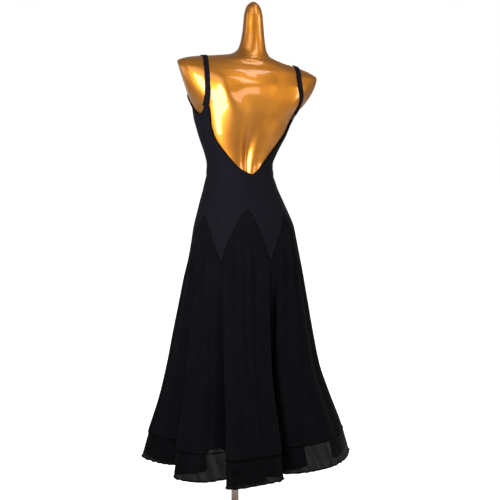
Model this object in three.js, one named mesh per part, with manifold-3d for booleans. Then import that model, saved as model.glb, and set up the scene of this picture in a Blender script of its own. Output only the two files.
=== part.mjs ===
// A black stretch dance dress with a deep V back and a six-gore fluted skirt, worn by a
// limbless dress form on a pole and a round base plate.
// Millimetres, +Z up. The origin is the middle of the base plate's underside, on the floor.
// The front of the dress faces -Y, its back +Y, and the wearer's left side is +X.
// Around the body, "angle" is in degrees from the centre back, positive towards the wearer's right.
import * as THREE from "three";
import Module from "manifold-3d";
import { mergeVertices } from "three/addons/utils/BufferGeometryUtils.js";

const wasm = await Module();
wasm.setup();

// ---------------------------------------------------------------- driving dimensions
const CLOTH = 1.4; // wall of the jersey and the skirt cloth
const BAND_CLOTH = 1.2; // wall of the sheer hem band
const EASE = 2.8; // air between the form and the inside of the fitted cloth
const SEAM = 0.3; // gap between two pieces at a seam
const STRAP = { width: 15, thick: 1.6, ease: 0.6, end: 1.5 }; // end: above the bodice's edge
const HEM = 220; // height of the bottom edge of the hem band
const BAND = { deep: 74, lap: 6, inside: 0.5 }; // lap: hidden behind the skirt's own hem
const FORM_END = 669; // height of the flat underside of the form
const POLE = { radius: 11, into: 4 };
const SOCKET = { radius: 19, tall: 46 };
const BASE = { radius: 160, thick: 7, edge: 2 };
const COLLAR = { radius: 24, tall: 32 };

// ---------------------------------------------------------------- tables
// Sections of the form. shift and set: the section's middle in X and Y. half: half width.
// back and front: half depths. square: 2 is an ellipse. turn and roll: degrees about Z and Y.
const FORM = [
  { z: 669, shift: -18, set: 0, half: 126, back: 84, front: 84, square: 2.1, turn: 0, roll: 0 },
  { z: 720, shift: -22, set: 0, half: 137, back: 94, front: 91, square: 2.1, turn: 0, roll: 0 },
  { z: 780, shift: -26, set: 0, half: 147, back: 105, front: 97, square: 2.1, turn: 0, roll: 0 },
  { z: 840, shift: -29, set: 0, half: 154, back: 114, front: 101, square: 2.1, turn: 0, roll: 0 },
  { z: 880, shift: -29, set: 0, half: 155, back: 118, front: 102, square: 2.1, turn: 0, roll: 0 },
  { z: 920, shift: -28, set: 0, half: 148, back: 116, front: 102, square: 2.1, turn: 1, roll: 0 },
  { z: 960, shift: -25, set: 0, half: 135, back: 107, front: 101, square: 2.1, turn: 3, roll: 0 },
  { z: 1000, shift: -21, set: 0, half: 121, back: 95, front: 98, square: 2.1, turn: 6, roll: 0 },
  { z: 1040, shift: -18, set: 0, half: 107, back: 83, front: 94, square: 2.1, turn: 9, roll: 0 },
  { z: 1075, shift: -17, set: 0, half: 98, back: 75, front: 91, square: 2.1, turn: 12, roll: 0 },
  { z: 1105, shift: -17, set: 0, half: 96, back: 71, front: 90, square: 2.1, turn: 14, roll: 0.6 },
  { z: 1135, shift: -19, set: 0, half: 105, back: 73, front: 90, square: 2.1, turn: 15, roll: 1.4 },
  { z: 1170, shift: -21, set: 0, half: 120, back: 79, front: 93, square: 2.15, turn: 16, roll: 2.4 },
  { z: 1200, shift: -24, set: 0, half: 132, back: 84, front: 98, square: 2.2, turn: 16, roll: 3.2 },
  { z: 1235, shift: -27, set: 0, half: 143, back: 88, front: 102, square: 2.2, turn: 16, roll: 4.1 },
  { z: 1265, shift: -30, set: 0, half: 154, back: 91, front: 101, square: 2.25, turn: 15, roll: 4.8 },
  { z: 1300, shift: -33, set: 0, half: 182, back: 92, front: 94, square: 2.3, turn: 14, roll: 5.6 },
  { z: 1340, shift: -37, set: 0, half: 206, back: 87, front: 80, square: 2.3, turn: 12, roll: 6.2 },
  { z: 1368, shift: -40, set: -1, half: 214, back: 76, front: 66, square: 2.3, turn: 11, roll: 6.5 },
  { z: 1386, shift: -42, set: -3, half: 214, back: 66, front: 56, square: 2.3, turn: 10, roll: 6 },
  { z: 1398, shift: -43, set: -5, half: 197, back: 57, front: 49, square: 2.25, turn: 10, roll: 5.6 },
  { z: 1408, shift: -44, set: -7, half: 163, back: 49, front: 44, square: 2.2, turn: 10, roll: 5.4 },
  { z: 1418, shift: -46, set: -9, half: 108, back: 43, front: 40, square: 2.1, turn: 10, roll: 5 },
  { z: 1430, shift: -51, set: -11, half: 60, back: 40, front: 38, square: 2, turn: 10, roll: 3.6 },
  { z: 1448, shift: -55, set: -13, half: 43, back: 37, front: 36, square: 2, turn: 10, roll: 1.4 },
  { z: 1480, shift: -57.5, set: -15, half: 35.5, back: 33, front: 33, square: 2, turn: 10, roll: 0 },
  { z: 1512, shift: -58.5, set: -16, half: 31.5, back: 30, front: 30, square: 2, turn: 10, roll: 0 },
  { z: 1545, shift: -58.5, set: -16, half: 28.5, back: 28, front: 28, square: 2, turn: 10, roll: 0 },
  { z: 1565, shift: -58.5, set: -16, half: 24, back: 24, front: 24, square: 2, turn: 10, roll: 0 },
  { z: 1578, shift: -58.5, set: -16, half: 17, back: 17, front: 17, square: 2, turn: 10, roll: 0 },
  { z: 1585, shift: -58.5, set: -16, half: 8, back: 8, front: 8, square: 2, turn: 10, roll: 0 },
];

// Soft relief on the form. reach: outwards, or inwards if negative. wide: degrees. tall: mm.
// worn: whether the fitted cloth takes the shape too, rather than bridging it.
const RELIEF = [
  { name: "left bust", angle: -143, z: 1238, reach: 23, wide: 23, tall: 50, worn: true },
  { name: "right bust", angle: 143, z: 1238, reach: 23, wide: 23, tall: 50, worn: true },
  { name: "left shoulder blade", angle: -20, z: 1292, reach: 8, wide: 14, tall: 58, worn: true },
  { name: "right shoulder blade", angle: 42, z: 1300, reach: 8, wide: 13, tall: 58, worn: true },
  { name: "spine", angle: 2, z: 1190, reach: -9, wide: 10, tall: 95, worn: false },
  { name: "low spine", angle: 0, z: 1095, reach: -5, wide: 4.5, tall: 45, worn: false },
];

// Rings of the skirt below the hips, before its folds are put in.
const SKIRT = [
  { z: 220, shift: -34, half: 321, back: 338, front: 318 },
  { z: 294, shift: -34, half: 300, back: 310, front: 290 },
  { z: 325, shift: -34, half: 289, back: 292, front: 275 },
  { z: 400, shift: -32, half: 262, back: 258, front: 244 },
  { z: 495, shift: -27.5, half: 234, back: 221, front: 209 },
  { z: 595, shift: -27, half: 213.5, back: 187, front: 178 },
  { z: 694, shift: -28, half: 194, back: 159, front: 148 },
  { z: 768, shift: -29, half: 179.5, back: 139, front: 125 },
  { z: 817, shift: -30, half: 170.5, back: 128, front: 112 },
];

// The hem's line seen from above, round the back from the left side to the right. The cloth
// that leaves the hips at an angle hangs to x and y at the hem, in deep folds at the seams.
const HEM_LINE = [
  { angle: -115, x: 258, y: -128 },
  { angle: -111, x: 252, y: -84 },
  { angle: -109, x: 238, y: -26 },
  { angle: -107, x: 214, y: 28 },
  { angle: -105.4, x: 190, y: 60 },
  { angle: -104.6, x: 177, y: 74 },
  { angle: -103.9, x: 180, y: 87 },
  { angle: -102, x: 206, y: 81 },
  { angle: -99, x: 240, y: 52 },
  { angle: -96.6, x: 264, y: 14 },
  { angle: -95, x: 274, y: -12 },
  { angle: -93.2, x: 283, y: -8 },
  { angle: -91, x: 286, y: 2 },
  { angle: -88, x: 286, y: 12 },
  { angle: -84, x: 284, y: 24 },
  { angle: -77, x: 251, y: 65 },
  { angle: -71, x: 212, y: 96 },
  { angle: -67, x: 171, y: 108 },
  { angle: -65, x: 129, y: 105 },
  { angle: -63.5, x: 103, y: 110 },
  { angle: -62.5, x: 94, y: 138 },
  { angle: -61.5, x: 108, y: 172 },
  { angle: -60, x: 143, y: 186 },
  { angle: -58.5, x: 179, y: 187 },
  { angle: -57, x: 192, y: 211 },
  { angle: -53, x: 169, y: 238 },
  { angle: -46, x: 134, y: 256 },
  { angle: -38, x: 95, y: 261 },
  { angle: -32.5, x: 57, y: 248 },
  { angle: -30, x: 22, y: 233 },
  { angle: -28.8, x: -18, y: 228 },
  { angle: -27.6, x: -60, y: 247 },
  { angle: -27, x: -69, y: 264 },
  { angle: -26.4, x: -54, y: 277 },
  { angle: -25.6, x: -2, y: 294 },
  { angle: -25, x: 36, y: 299 },
  { angle: -24.4, x: 48, y: 315 },
  { angle: -22, x: 34, y: 324 },
  { angle: -14, x: 0, y: 319 },
  { angle: -5, x: -31, y: 307 },
  { angle: 5, x: -62, y: 294 },
  { angle: 15, x: -93, y: 280 },
  { angle: 19.5, x: -116, y: 267 },
  { angle: 21, x: -121, y: 249 },
  { angle: 22, x: -107, y: 236 },
  { angle: 22.8, x: -79, y: 227 },
  { angle: 23.5, x: -56, y: 199 },
  { angle: 24, x: -68, y: 161 },
  { angle: 24.6, x: -111, y: 145 },
  { angle: 25.2, x: -155, y: 133 },
  { angle: 26, x: -194, y: 108 },
  { angle: 26.8, x: -205, y: 132 },
  { angle: 27.8, x: -180, y: 166 },
  { angle: 29.5, x: -139, y: 185 },
  { angle: 32, x: -119, y: 200 },
  { angle: 38, x: -142, y: 212 },
  { angle: 46, x: -192, y: 205 },
  { angle: 54, x: -236, y: 187 },
  { angle: 62, x: -278, y: 160 },
  { angle: 70, x: -312, y: 121 },
  { angle: 77, x: -337, y: 77 },
  { angle: 84, x: -353, y: 27 },
  { angle: 88, x: -358, y: 4 },
  { angle: 91, x: -357, y: -8 },
  { angle: 93.2, x: -353, y: -24 },
  { angle: 95, x: -344, y: -25 },
  { angle: 96.6, x: -335, y: 6 },
  { angle: 99, x: -321, y: 44 },
  { angle: 101.2, x: -306, y: 67 },
  { angle: 102.4, x: -297, y: 72 },
  { angle: 103.4, x: -296, y: 58 },
  { angle: 105.6, x: -310, y: 16 },
  { angle: 108, x: -326, y: -34 },
  { angle: 111, x: -333, y: -84 },
  { angle: 114, x: -327, y: -124 },
];
// Folds of the hem round the front, in degrees and mm. lean: sideways slant of the whole fold.
const FRONT_FOLDS = [
  { angle: 126, deep: 66, wide: 8, lean: 1.5 },
  { angle: 152, deep: 80, wide: 8.5, lean: -2 },
  { angle: 180, deep: 46, wide: 8, lean: 1 },
  { angle: 208, deep: 76, wide: 8.5, lean: 2 },
  { angle: 232, deep: 62, wide: 8, lean: -1.5 },
];
// One fold's shape: from and to are shares of its width, where its cloth leaves the hips and
// where it hangs to. in: share of its depth.
const FOLD_SHAPE = [
  { from: -1, to: -0.62, in: 0 },
  { from: -0.6, to: -0.5, in: 0.42 },
  { from: -0.32, to: -0.56, in: 0.85 },
  { from: 0, to: 0, in: 1 },
  { from: 0.32, to: 0.56, in: 0.85 },
  { from: 0.6, to: 0.5, in: 0.42 },
  { from: 1, to: 0.62, in: 0 },
];
const FOLDS_START = 830; // height where the folds begin
const FOLDS_GROW = 1.15; // how late on the way down they open

// The six gores. A point is a V of the bodice between two gores, a peak is the top of a gore.
const POINT_HEIGHT = 825;
const GORES = [
  { name: "back_centre", from: -27, peak: 0, to: 23.5, height: 975 },
  { name: "back_right", from: 23.5, peak: 55, to: 92, height: 956 },
  { name: "front_right", from: 92, peak: 122, to: 152, height: 950 },
  { name: "front_centre", from: 152, peak: 180, to: 208, height: 962 },
  { name: "front_left", from: 208, peak: 238, to: 268, height: 950 },
  { name: "back_left", from: 268, peak: 300, to: 333, height: 956 },
];
const ARCH = 1.5; // how pointed the bodice's V is, and how round the gore's peak
const ARCH_STEPS = 4; // straight stretches from a peak to a point

// The back neckline. half: half opening in degrees. middle: where its middle is.
const NECKLINE = [
  { z: 1077, half: 0, middle: 7.5 },
  { z: 1086, half: 10, middle: 6 },
  { z: 1104, half: 23, middle: 4 },
  { z: 1134, half: 37.5, middle: 1.5 },
  { z: 1176, half: 51.5, middle: 0 },
  { z: 1220, half: 58.5, middle: 2.5 },
  { z: 1264, half: 58.5, middle: 4.5 },
];
// The top edge of the bodice, alike on both sides, from the strap round to the middle of the
// front. An angle of 58.5 is the edge of the neckline itself.
const TOP_EDGE = [
  { angle: 58.5, z: 1264 },
  { angle: 65, z: 1263 },
  { angle: 70, z: 1251 },
  { angle: 77, z: 1243 },
  { angle: 84, z: 1245 },
  { angle: 92, z: 1251 },
  { angle: 103, z: 1264 },
  { angle: 112, z: 1279 },
  { angle: 122, z: 1299 },
  { angle: 131, z: 1308 },
  { angle: 139, z: 1308 },
  { angle: 146, z: 1296 },
  { angle: 158, z: 1279 },
  { angle: 169, z: 1270 },
  { angle: 180, z: 1268 },
];
// Each strap's distance from the middle plane of the chest, at its back end, top and front end.
const STRAPS = [
  { name: "left", side: -1, back: 135, top: 140, front: 138 },
  { name: "right", side: 1, back: 148, top: 139, front: 138 },
];

// ---------------------------------------------------------------- small helpers
const radians = THREE.MathUtils.degToRad;
const { lerp, smoothstep } = THREE.MathUtils;
const bell = (distance) => Math.exp(-distance * distance);

// The shortest way from one angle to another, in degrees.
function angleBetween(from, to) {
  return ((((to - from + 180) % 360) + 360) % 360) - 180;
}

// The value of one column of a table at key, on a smooth curve through the rows.
function smoothColumn(rows, keyName, column) {
  const knots = rows.map((row) => row[keyName]);
  const values = rows.map((row) => row[column]);
  const last = knots.length - 1;
  const chord = knots.slice(1).map((k, i) => (values[i + 1] - values[i]) / (k - knots[i]));
  const slope = knots.map((_, i) => {
    if (i === 0 || i === last) return chord[Math.min(i, last - 1)];
    const [before, after] = [chord[i - 1], chord[i]];
    return before * after <= 0 ? 0 : (2 * before * after) / (before + after);
  });
  return (key) => {
    const k = Math.min(Math.max(key, knots[0]), knots[last]);
    let i = 0;
    while (i < last - 1 && k > knots[i + 1]) i++;
    const span = knots[i + 1] - knots[i];
    const u = (k - knots[i]) / span;
    const [a, b] = [values[i], values[i + 1]];
    const rise = b - a;
    const [s0, s1] = [slope[i] * span, slope[i + 1] * span];
    return a + u * (s0 + u * (3 * rise - 2 * s0 - s1 + u * (s0 + s1 - 2 * rise)));
  };
}

// A table as a function that gives a whole row at a height.
function smoothTable(rows, columns) {
  const curves = columns.map((column) => [column, smoothColumn(rows, "z", column)]);
  return (z) => Object.fromEntries(curves.map(([column, curve]) => [column, curve(z)]));
}

// ---------------------------------------------------------------- surfaces
const SECTION_COLUMNS = ["shift", "set", "half", "back", "front", "square", "turn", "roll"];
const formSection = smoothTable(FORM, SECTION_COLUMNS);

// Below the hips the cloth has its own sections, and above them it is the form's plus the ease.
const WORN_FROM = 868;
const wornRows = FORM.filter((row) => row.z >= WORN_FROM && row.z < 1400).map((row) => {
  const out = EASE + CLOTH / 2;
  return { ...row, half: row.half + out, back: row.back + out, front: row.front + out };
});
const hangRows = SKIRT.map((row) => ({ ...row, set: 0, square: 2, turn: 0, roll: 0 }));
const clothSection = smoothTable([...hangRows, ...wornRows], SECTION_COLUMNS);

// A place in a section's own axes, put into the part's frame.
function place(section, x, y, z) {
  const turn = radians(section.turn);
  return new THREE.Vector3(
    section.shift + x * Math.cos(turn) - y * Math.sin(turn),
    section.set + x * Math.sin(turn) + y * Math.cos(turn),
    z + x * Math.tan(radians(section.roll)),
  );
}

// A point on a section's outline. out and along move it outwards and sideways, in mm.
function outline(section, angle, z, out, along) {
  const [s, c] = [Math.sin(radians(angle)), Math.cos(radians(angle))];
  const power = 2 / section.square;
  const depth = c > 0 ? section.back : section.front;
  const x = -(section.half + out) * Math.sign(s) * Math.abs(s) ** power;
  const y = (depth + out) * Math.sign(c) * Math.abs(c) ** power;
  return place(section, x - along * c, y - along * s, z);
}

function relief(angle, z, worn) {
  let out = 0;
  for (const row of RELIEF) {
    if (worn && !row.worn) continue;
    const turned = angleBetween(row.angle, angle) / row.wide;
    out += row.reach * bell(turned) * bell((z - row.z) / row.tall);
  }
  return out;
}

const formPoint = (angle, z) => outline(formSection(z), angle, z, relief(angle, z, false), 0);

// Where the cloth hangs at the hem, as rows of { angle, x, y } all the way round.
const ringAt = (angle, z) => outline(clothSection(z), angle, z, relief(angle, z, true), 0);
const frontLine = FRONT_FOLDS.flatMap((fold, i) => {
  const next = FRONT_FOLDS[i + 1];
  const rows = FOLD_SHAPE.map((shape) => {
    const at = fold.angle + shape.to * fold.wide + fold.lean * shape.in;
    const place = ringAt(at, HEM);
    const middle = clothSection(HEM).shift;
    const share = 1 - (fold.deep * shape.in) / Math.hypot(place.x - middle, place.y);
    return {
      angle: fold.angle + shape.from * fold.wide,
      x: middle + (place.x - middle) * share,
      y: place.y * share,
    };
  });
  if (!next) return rows;
  const crest = (fold.angle + fold.wide + next.angle - next.wide) / 2;
  const top = ringAt(crest, HEM);
  return [...rows, { angle: crest, x: top.x, y: top.y }];
});
const hemLine = [...HEM_LINE, ...frontLine];

// A point of the hem on a smooth closed curve through its rows.
function hemAt(angle) {
  const first = hemLine[0].angle;
  const turned = ((((angle - first) % 360) + 360) % 360) + first;
  const count = hemLine.length;
  let i = count - 1;
  while (hemLine[i].angle > turned) i--;
  const [p0, p1, p2, p3] = [count - 1, 0, 1, 2].map((k) => {
    const row = hemLine[(i + k) % count];
    return new THREE.Vector2(row.x, row.y);
  });
  const end = i === count - 1 ? first + 360 : hemLine[i + 1].angle;
  const t = (turned - hemLine[i].angle) / (end - hemLine[i].angle);
  const root = (a, b) => Math.sqrt(a.distanceTo(b));
  const [d0, d1, d2] = [root(p0, p1), root(p1, p2), root(p2, p3)];
  const tangent = (a, b, c, before, after) =>
    b.clone().sub(a).divideScalar(before)
      .sub(c.clone().sub(a).divideScalar(before + after))
      .add(c.clone().sub(b).divideScalar(after))
      .multiplyScalar(d1);
  const [m1, m2] = [tangent(p0, p1, p2, d0, d1), tangent(p1, p2, p3, d1, d2)];
  const [t2, t3] = [t * t, t * t * t];
  return p1.clone().multiplyScalar(2 * t3 - 3 * t2 + 1)
    .addScaledVector(m1, t3 - 2 * t2 + t)
    .addScaledVector(p2, 3 * t2 - 2 * t3)
    .addScaledVector(m2, t3 - t2);
}

// How far down the folds a height is, 0 where they begin and 1 at the hem.
const downFolds = (z) => Math.max(0, (FOLDS_START - z) / (FOLDS_START - HEM));

function clothPoint(angle, z) {
  const point = ringAt(angle, z);
  const grown = downFolds(z) ** FOLDS_GROW;
  if (grown === 0) return point;
  const [hem, ring] = [hemAt(angle), ringAt(angle, HEM)];
  point.x += grown * (hem.x - ring.x);
  point.y += grown * (hem.y - ring.y);
  return point;
}

// The outward normal of a surface given as a function of angle and height.
function normalOf(surface, angle, z) {
  const around = surface(angle + 0.04, z).sub(surface(angle - 0.04, z));
  const up = surface(angle, z + 0.5).sub(surface(angle, z - 0.5));
  return around.cross(up).normalize();
}

// ---------------------------------------------------------------- solids
const paint = {
  jersey: { color: "#1b1b21", roughness: 0.75, metalness: 0 },
  crepe: { color: "#111116", roughness: 0.85, metalness: 0 },
  sheer: { color: "#1a1a1e", roughness: 0.7, metalness: 0 },
  gold: { color: "#c98a35", roughness: 0.2, metalness: 1 },
  steel: { color: "#8b8580", roughness: 0.35, metalness: 1 },
};
const dress = new THREE.Group();
const stand = new THREE.Group();

function addPiece(group, name, finish, geometry, z = 0) {
  const mesh = new THREE.Mesh(geometry, new THREE.MeshStandardMaterial(paint[finish]));
  mesh.name = name;
  mesh.position.z = z;
  group.add(mesh);
}

// A closed wall from two grids of points, its outer side and its inner side.
function wallBetween(outer, inner) {
  const [rows, columns] = [outer.length, outer[0].length];
  const points = [...outer.flat(), ...inner.flat()];
  const index = [];
  const at = (side, row, column) => side * rows * columns + row * columns + column;
  const quad = (a, b, c, d) => {
    const first = points[a].distanceTo(points[c]) <= points[b].distanceTo(points[d]);
    index.push(...(first ? [a, b, c, a, c, d] : [b, c, d, b, d, a]));
  };
  for (let r = 0; r < rows - 1; r++)
    for (let c = 0; c < columns - 1; c++) {
      quad(at(0, r, c), at(0, r, c + 1), at(0, r + 1, c + 1), at(0, r + 1, c));
      quad(at(1, r, c), at(1, r + 1, c), at(1, r + 1, c + 1), at(1, r, c + 1));
    }
  for (let c = 0; c < columns - 1; c++) {
    quad(at(0, 0, c), at(1, 0, c), at(1, 0, c + 1), at(0, 0, c + 1));
    quad(at(0, rows - 1, c), at(0, rows - 1, c + 1), at(1, rows - 1, c + 1), at(1, rows - 1, c));
  }
  for (let r = 0; r < rows - 1; r++) {
    quad(at(0, r, 0), at(0, r + 1, 0), at(1, r + 1, 0), at(1, r, 0));
    quad(at(0, r, columns - 1), at(1, r, columns - 1), at(1, r + 1, columns - 1), at(0, r + 1, columns - 1));
  }
  const geometry = new THREE.BufferGeometry().setFromPoints(points);
  geometry.setIndex(index);
  return geometry;
}

// A cloth panel: places is a grid of { angle, z }, rows from the bottom up and columns by
// rising angle. sunk moves the whole wall inwards.
function panel(places, thick, sunk = 0) {
  const side = (offset) =>
    places.map((row) =>
      row.map(({ angle, z }) =>
        clothPoint(angle, z).addScaledVector(normalOf(clothPoint, angle, z), offset - sunk),
      ),
    );
  return wallBetween(side(thick / 2), side(-thick / 2));
}

// ---------------------------------------------------------------- the zigzag seam
// The seam's height at an angle, along the tops of the gores.
function seamHeight(angle) {
  const first = GORES[0].from;
  const turned = ((((angle - first) % 360) + 360) % 360) + first;
  const gore = GORES.find((row) => turned >= row.from && turned <= row.to) ?? GORES[0];
  const end = turned < gore.peak ? gore.from : gore.to;
  const share = Math.abs((turned - gore.peak) / (end - gore.peak));
  const exact = share * ARCH_STEPS;
  const low = Math.floor(exact);
  const drop = (step) => (step / ARCH_STEPS) ** ARCH;
  const fallen = lerp(drop(low), drop(Math.min(low + 1, ARCH_STEPS)), exact - low);
  return lerp(gore.height, POINT_HEIGHT, fallen);
}

// Angles of the seam's corners between two angles, each stretch cut into finer equal parts.
function seamAngles(from, to, parts) {
  const corners = [];
  for (const turn of [-360, 0, 360])
    for (const gore of GORES)
      for (const end of [gore.from, gore.to])
        for (let i = 0; i <= ARCH_STEPS; i++)
          corners.push(lerp(gore.peak, end, i / ARCH_STEPS) + turn);
  const kept = [from, ...corners.filter((a) => a > from && a < to), to];
  const sorted = [...new Set(kept.map((a) => Math.round(a * 1e6) / 1e6))].sort((a, b) => a - b);
  const angles = [sorted[0]];
  for (let i = 1; i < sorted.length; i++)
    for (let p = 1; p <= parts; p++) angles.push(lerp(sorted[i - 1], sorted[i], p / parts));
  return angles;
}

// The seam gap is measured square to the seam, so where the seam climbs it is more in height.
function seamRise(angle) {
  const step = 0.2;
  const mmPerDegree = clothPoint(angle + 0.5, 880).distanceTo(clothPoint(angle - 0.5, 880));
  const rises = [-step, step].map((d) => (seamHeight(angle + d) - seamHeight(angle)) / step);
  const slope = Math.max(...rises.map(Math.abs)) / mmPerDegree;
  return (SEAM / 2) * Math.hypot(1, slope) + 0.05;
}

// The angle that a short step of cloth takes up at a place.
function angleOf(length, angle, z) {
  const around = clothPoint(angle + 0.02, z).sub(clothPoint(angle - 0.02, z));
  return (length * 0.04) / around.length();
}

// ---------------------------------------------------------------- skirt gores and hem bands
// The angles that part a gore's hem into count lengths of cloth, shorter where it turns sharply.
const TURN_WEIGHT = 22; // mm
function hemAngles(from, to, count) {
  const STEP = 0.05;
  const samples = Math.round((to - from) / STEP);
  const run = [0];
  let [before, last] = [hemAt(from - STEP), hemAt(from)];
  for (let i = 1; i <= samples; i++) {
    const here = hemAt(lerp(from, to, i / samples));
    const [way, next] = [last.clone().sub(before), here.clone().sub(last)];
    const turn = Math.abs(Math.atan2(way.cross(next), way.dot(next)));
    run.push(run[i - 1] + next.length() + TURN_WEIGHT * turn);
    [before, last] = [last, here];
  }
  const angles = [];
  for (let k = 0, i = 0; k <= count; k++) {
    const wanted = (run[samples] * k) / count;
    while (i < samples - 1 && run[i + 1] < wanted) i++;
    const share = (wanted - run[i]) / (run[i + 1] - run[i]);
    angles.push(lerp(from, to, (i + share) / samples));
  }
  return angles;
}

const SKIRT_HEM = HEM + BAND.deep;
// Heights of a gore's rows below the points of the bodice, the first two where its band laps.
const GORE_ROWS = [SKIRT_HEM, SKIRT_HEM + BAND.lap, 350, 425, 505, 590, 675, 750];
const GORE_ROWS_ABOVE = [0, 0.33, 0.67, 1]; // shares of the way up from 800 to the seam
const GORE_SHOULDER = 800;
const GORE_PARTS = 3; // columns to each straight stretch of the seam

// The places of a gore's cloth. Its columns are even along the seam at the top, and follow the
// folds at the hem.
function gorePlaces(gore, heights) {
  const top = seamAngles(gore.from, gore.to, GORE_PARTS);
  const low = hemAngles(gore.from, gore.to, top.length - 1);
  return heights.map((heightAt) =>
    top.map((topAngle, i) => {
      const z = heightAt(topAngle);
      const angle = lerp(topAngle, low[i], Math.sqrt(downFolds(z)));
      const edge = i === 0 ? 1 : i === top.length - 1 ? -1 : 0;
      return { angle: angle + edge * angleOf(SEAM / 2, angle, z), z };
    }),
  );
}

for (const gore of GORES) {
  const heights = [
    ...GORE_ROWS.map((z) => () => z),
    ...GORE_ROWS_ABOVE.map((share) => (angle) => {
      return lerp(GORE_SHOULDER, seamHeight(angle) - seamRise(angle), share);
    }),
  ];
  addPiece(dress, `gore_${gore.name}`, "crepe", panel(gorePlaces(gore, heights), CLOTH));
}

const bandSunk = CLOTH / 2 + BAND.inside + BAND_CLOTH / 2;
const BAND_ROWS = [HEM, HEM + 36, SKIRT_HEM, SKIRT_HEM + BAND.lap];
for (const gore of GORES) {
  const places = gorePlaces(gore, BAND_ROWS.map((z) => () => z));
  addPiece(dress, `hem_band_${gore.name}`, "sheer", panel(places, BAND_CLOTH, bandSunk));
}

// ---------------------------------------------------------------- bodice
const neckHalf = smoothColumn(NECKLINE, "z", "half");
const neckMiddle = smoothColumn(NECKLINE, "z", "middle");
const topEdge = smoothColumn(TOP_EDGE, "angle", "z");
const NECK_POINT = NECKLINE[0].z;
const SIDE = 92;
// Shares of the way from the seam to the point of the neckline, and on to the top edge.
const LOW_ROWS = [0, 0.22, 0.44, 0.64, 0.83];
const HIGH_ROWS = [0, 0.09, 0.21, 0.37, 0.53, 0.69, 0.85, 1];
const bodiceHeights = (bottom, top) => [
  ...LOW_ROWS.map((share) => lerp(bottom, NECK_POINT, share)),
  ...HIGH_ROWS.map((share) => lerp(NECK_POINT, top, share)),
];

// The corners of the left half of the zigzag, as angles away from the centre back.
const leftAngles = seamAngles(-SIDE, 0, GORE_PARTS)
  .map((angle) => -angle)
  .reverse();

// One half of the back, from the centre back to the side seam. side: -1 left, 1 right.
// The centre seam swings over to the point of the neckline on its way up.
function backPlaces(side) {
  const corners = side > 0 ? seamAngles(0, SIDE, GORE_PARTS) : leftAngles;
  const columns = corners.map((corner, i) => {
    const share = corner / SIDE;
    const bottom = seamHeight(side * corner) + seamRise(side * corner);
    const top = topEdge(lerp(TOP_EDGE[0].angle, SIDE, share));
    return bodiceHeights(bottom, top).map((z) => {
      const swing = neckMiddle(z) * smoothstep(z, GORES[0].height, NECK_POINT);
      const inner = side * swing + (z > NECK_POINT ? neckHalf(z) : 0);
      const centreSeam = i === 0 && z <= NECK_POINT;
      const edge = centreSeam ? 1 : i === corners.length - 1 ? -1 : 0;
      const gap = edge * angleOf(SEAM / 2, side * corner, z);
      return { angle: side * (lerp(inner, SIDE, share) + gap), z };
    });
  });
  if (side < 0) columns.reverse();
  return columns[0].map((_, row) => columns.map((column) => column[row]));
}

addPiece(dress, "bodice_back_left", "jersey", panel(backPlaces(-1), CLOTH));
addPiece(dress, "bodice_back_right", "jersey", panel(backPlaces(1), CLOTH));

const frontAngles = seamAngles(SIDE, 360 - SIDE, GORE_PARTS);
const frontColumns = frontAngles.map((angle, i) => {
  const bottom = seamHeight(angle) + seamRise(angle);
  const edge = i === 0 ? 1 : i === frontAngles.length - 1 ? -1 : 0;
  return bodiceHeights(bottom, topEdge(Math.min(angle, 360 - angle))).map((z) => {
    return { angle: angle + edge * angleOf(SEAM / 2, angle, z), z };
  });
});
const frontPlaces = frontColumns[0].map((_, row) => frontColumns.map((column) => column[row]));
addPiece(dress, "bodice_front", "jersey", panel(frontPlaces, CLOTH));

// ---------------------------------------------------------------- straps
const STRAP_STEPS = 30;
const RIDGE_STEPS = 400;

// The form's outline where a strap's edge runs, from its back end over the shoulder to its
// front end, as points at even steps of length. edge: mm from the strap's own middle line.
function overShoulder({ side, back, top, front }, edge, backFrom, frontTo) {
  const RIDGE = 1425;
  const track = [];
  const addPlace = (z, low, off, facing) => {
    const section = formSection(z);
    const share = smoothstep(z, low, RIDGE - 40);
    const sine = ((lerp(off, top, share) + edge) / section.half) ** (section.square / 2);
    if (sine >= 1) return;
    const angle = THREE.MathUtils.radToDeg(Math.asin(sine));
    track.push(formPoint(side * (facing === "back" ? angle : 180 - angle), z));
  };
  for (let i = 0; i <= RIDGE_STEPS; i++)
    addPlace(lerp(backFrom, RIDGE, i / RIDGE_STEPS), backFrom, back, "back");
  for (let i = RIDGE_STEPS; i >= 0; i--)
    addPlace(lerp(frontTo, RIDGE, i / RIDGE_STEPS), frontTo, front, "front");
  const run = [0];
  for (let i = 1; i < track.length; i++) run.push(run[i - 1] + track[i].distanceTo(track[i - 1]));
  const total = run[run.length - 1];
  const even = [];
  for (let s = 0, i = 0; s <= STRAP_STEPS; s++) {
    const wanted = (total * s) / STRAP_STEPS;
    while (i < run.length - 2 && run[i + 1] < wanted) i++;
    const share = (wanted - run[i]) / (run[i + 1] - run[i]);
    even.push(track[i].clone().lerp(track[i + 1], share));
  }
  return even;
}

// How far a strap's inside is off the form: as far as the bodice at its ends, close on top.
function strapLift(step) {
  const fromEnd = Math.min(step, STRAP_STEPS - step);
  return lerp(EASE, STRAP.ease, smoothstep(fromEnd, 0, 6));
}

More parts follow.
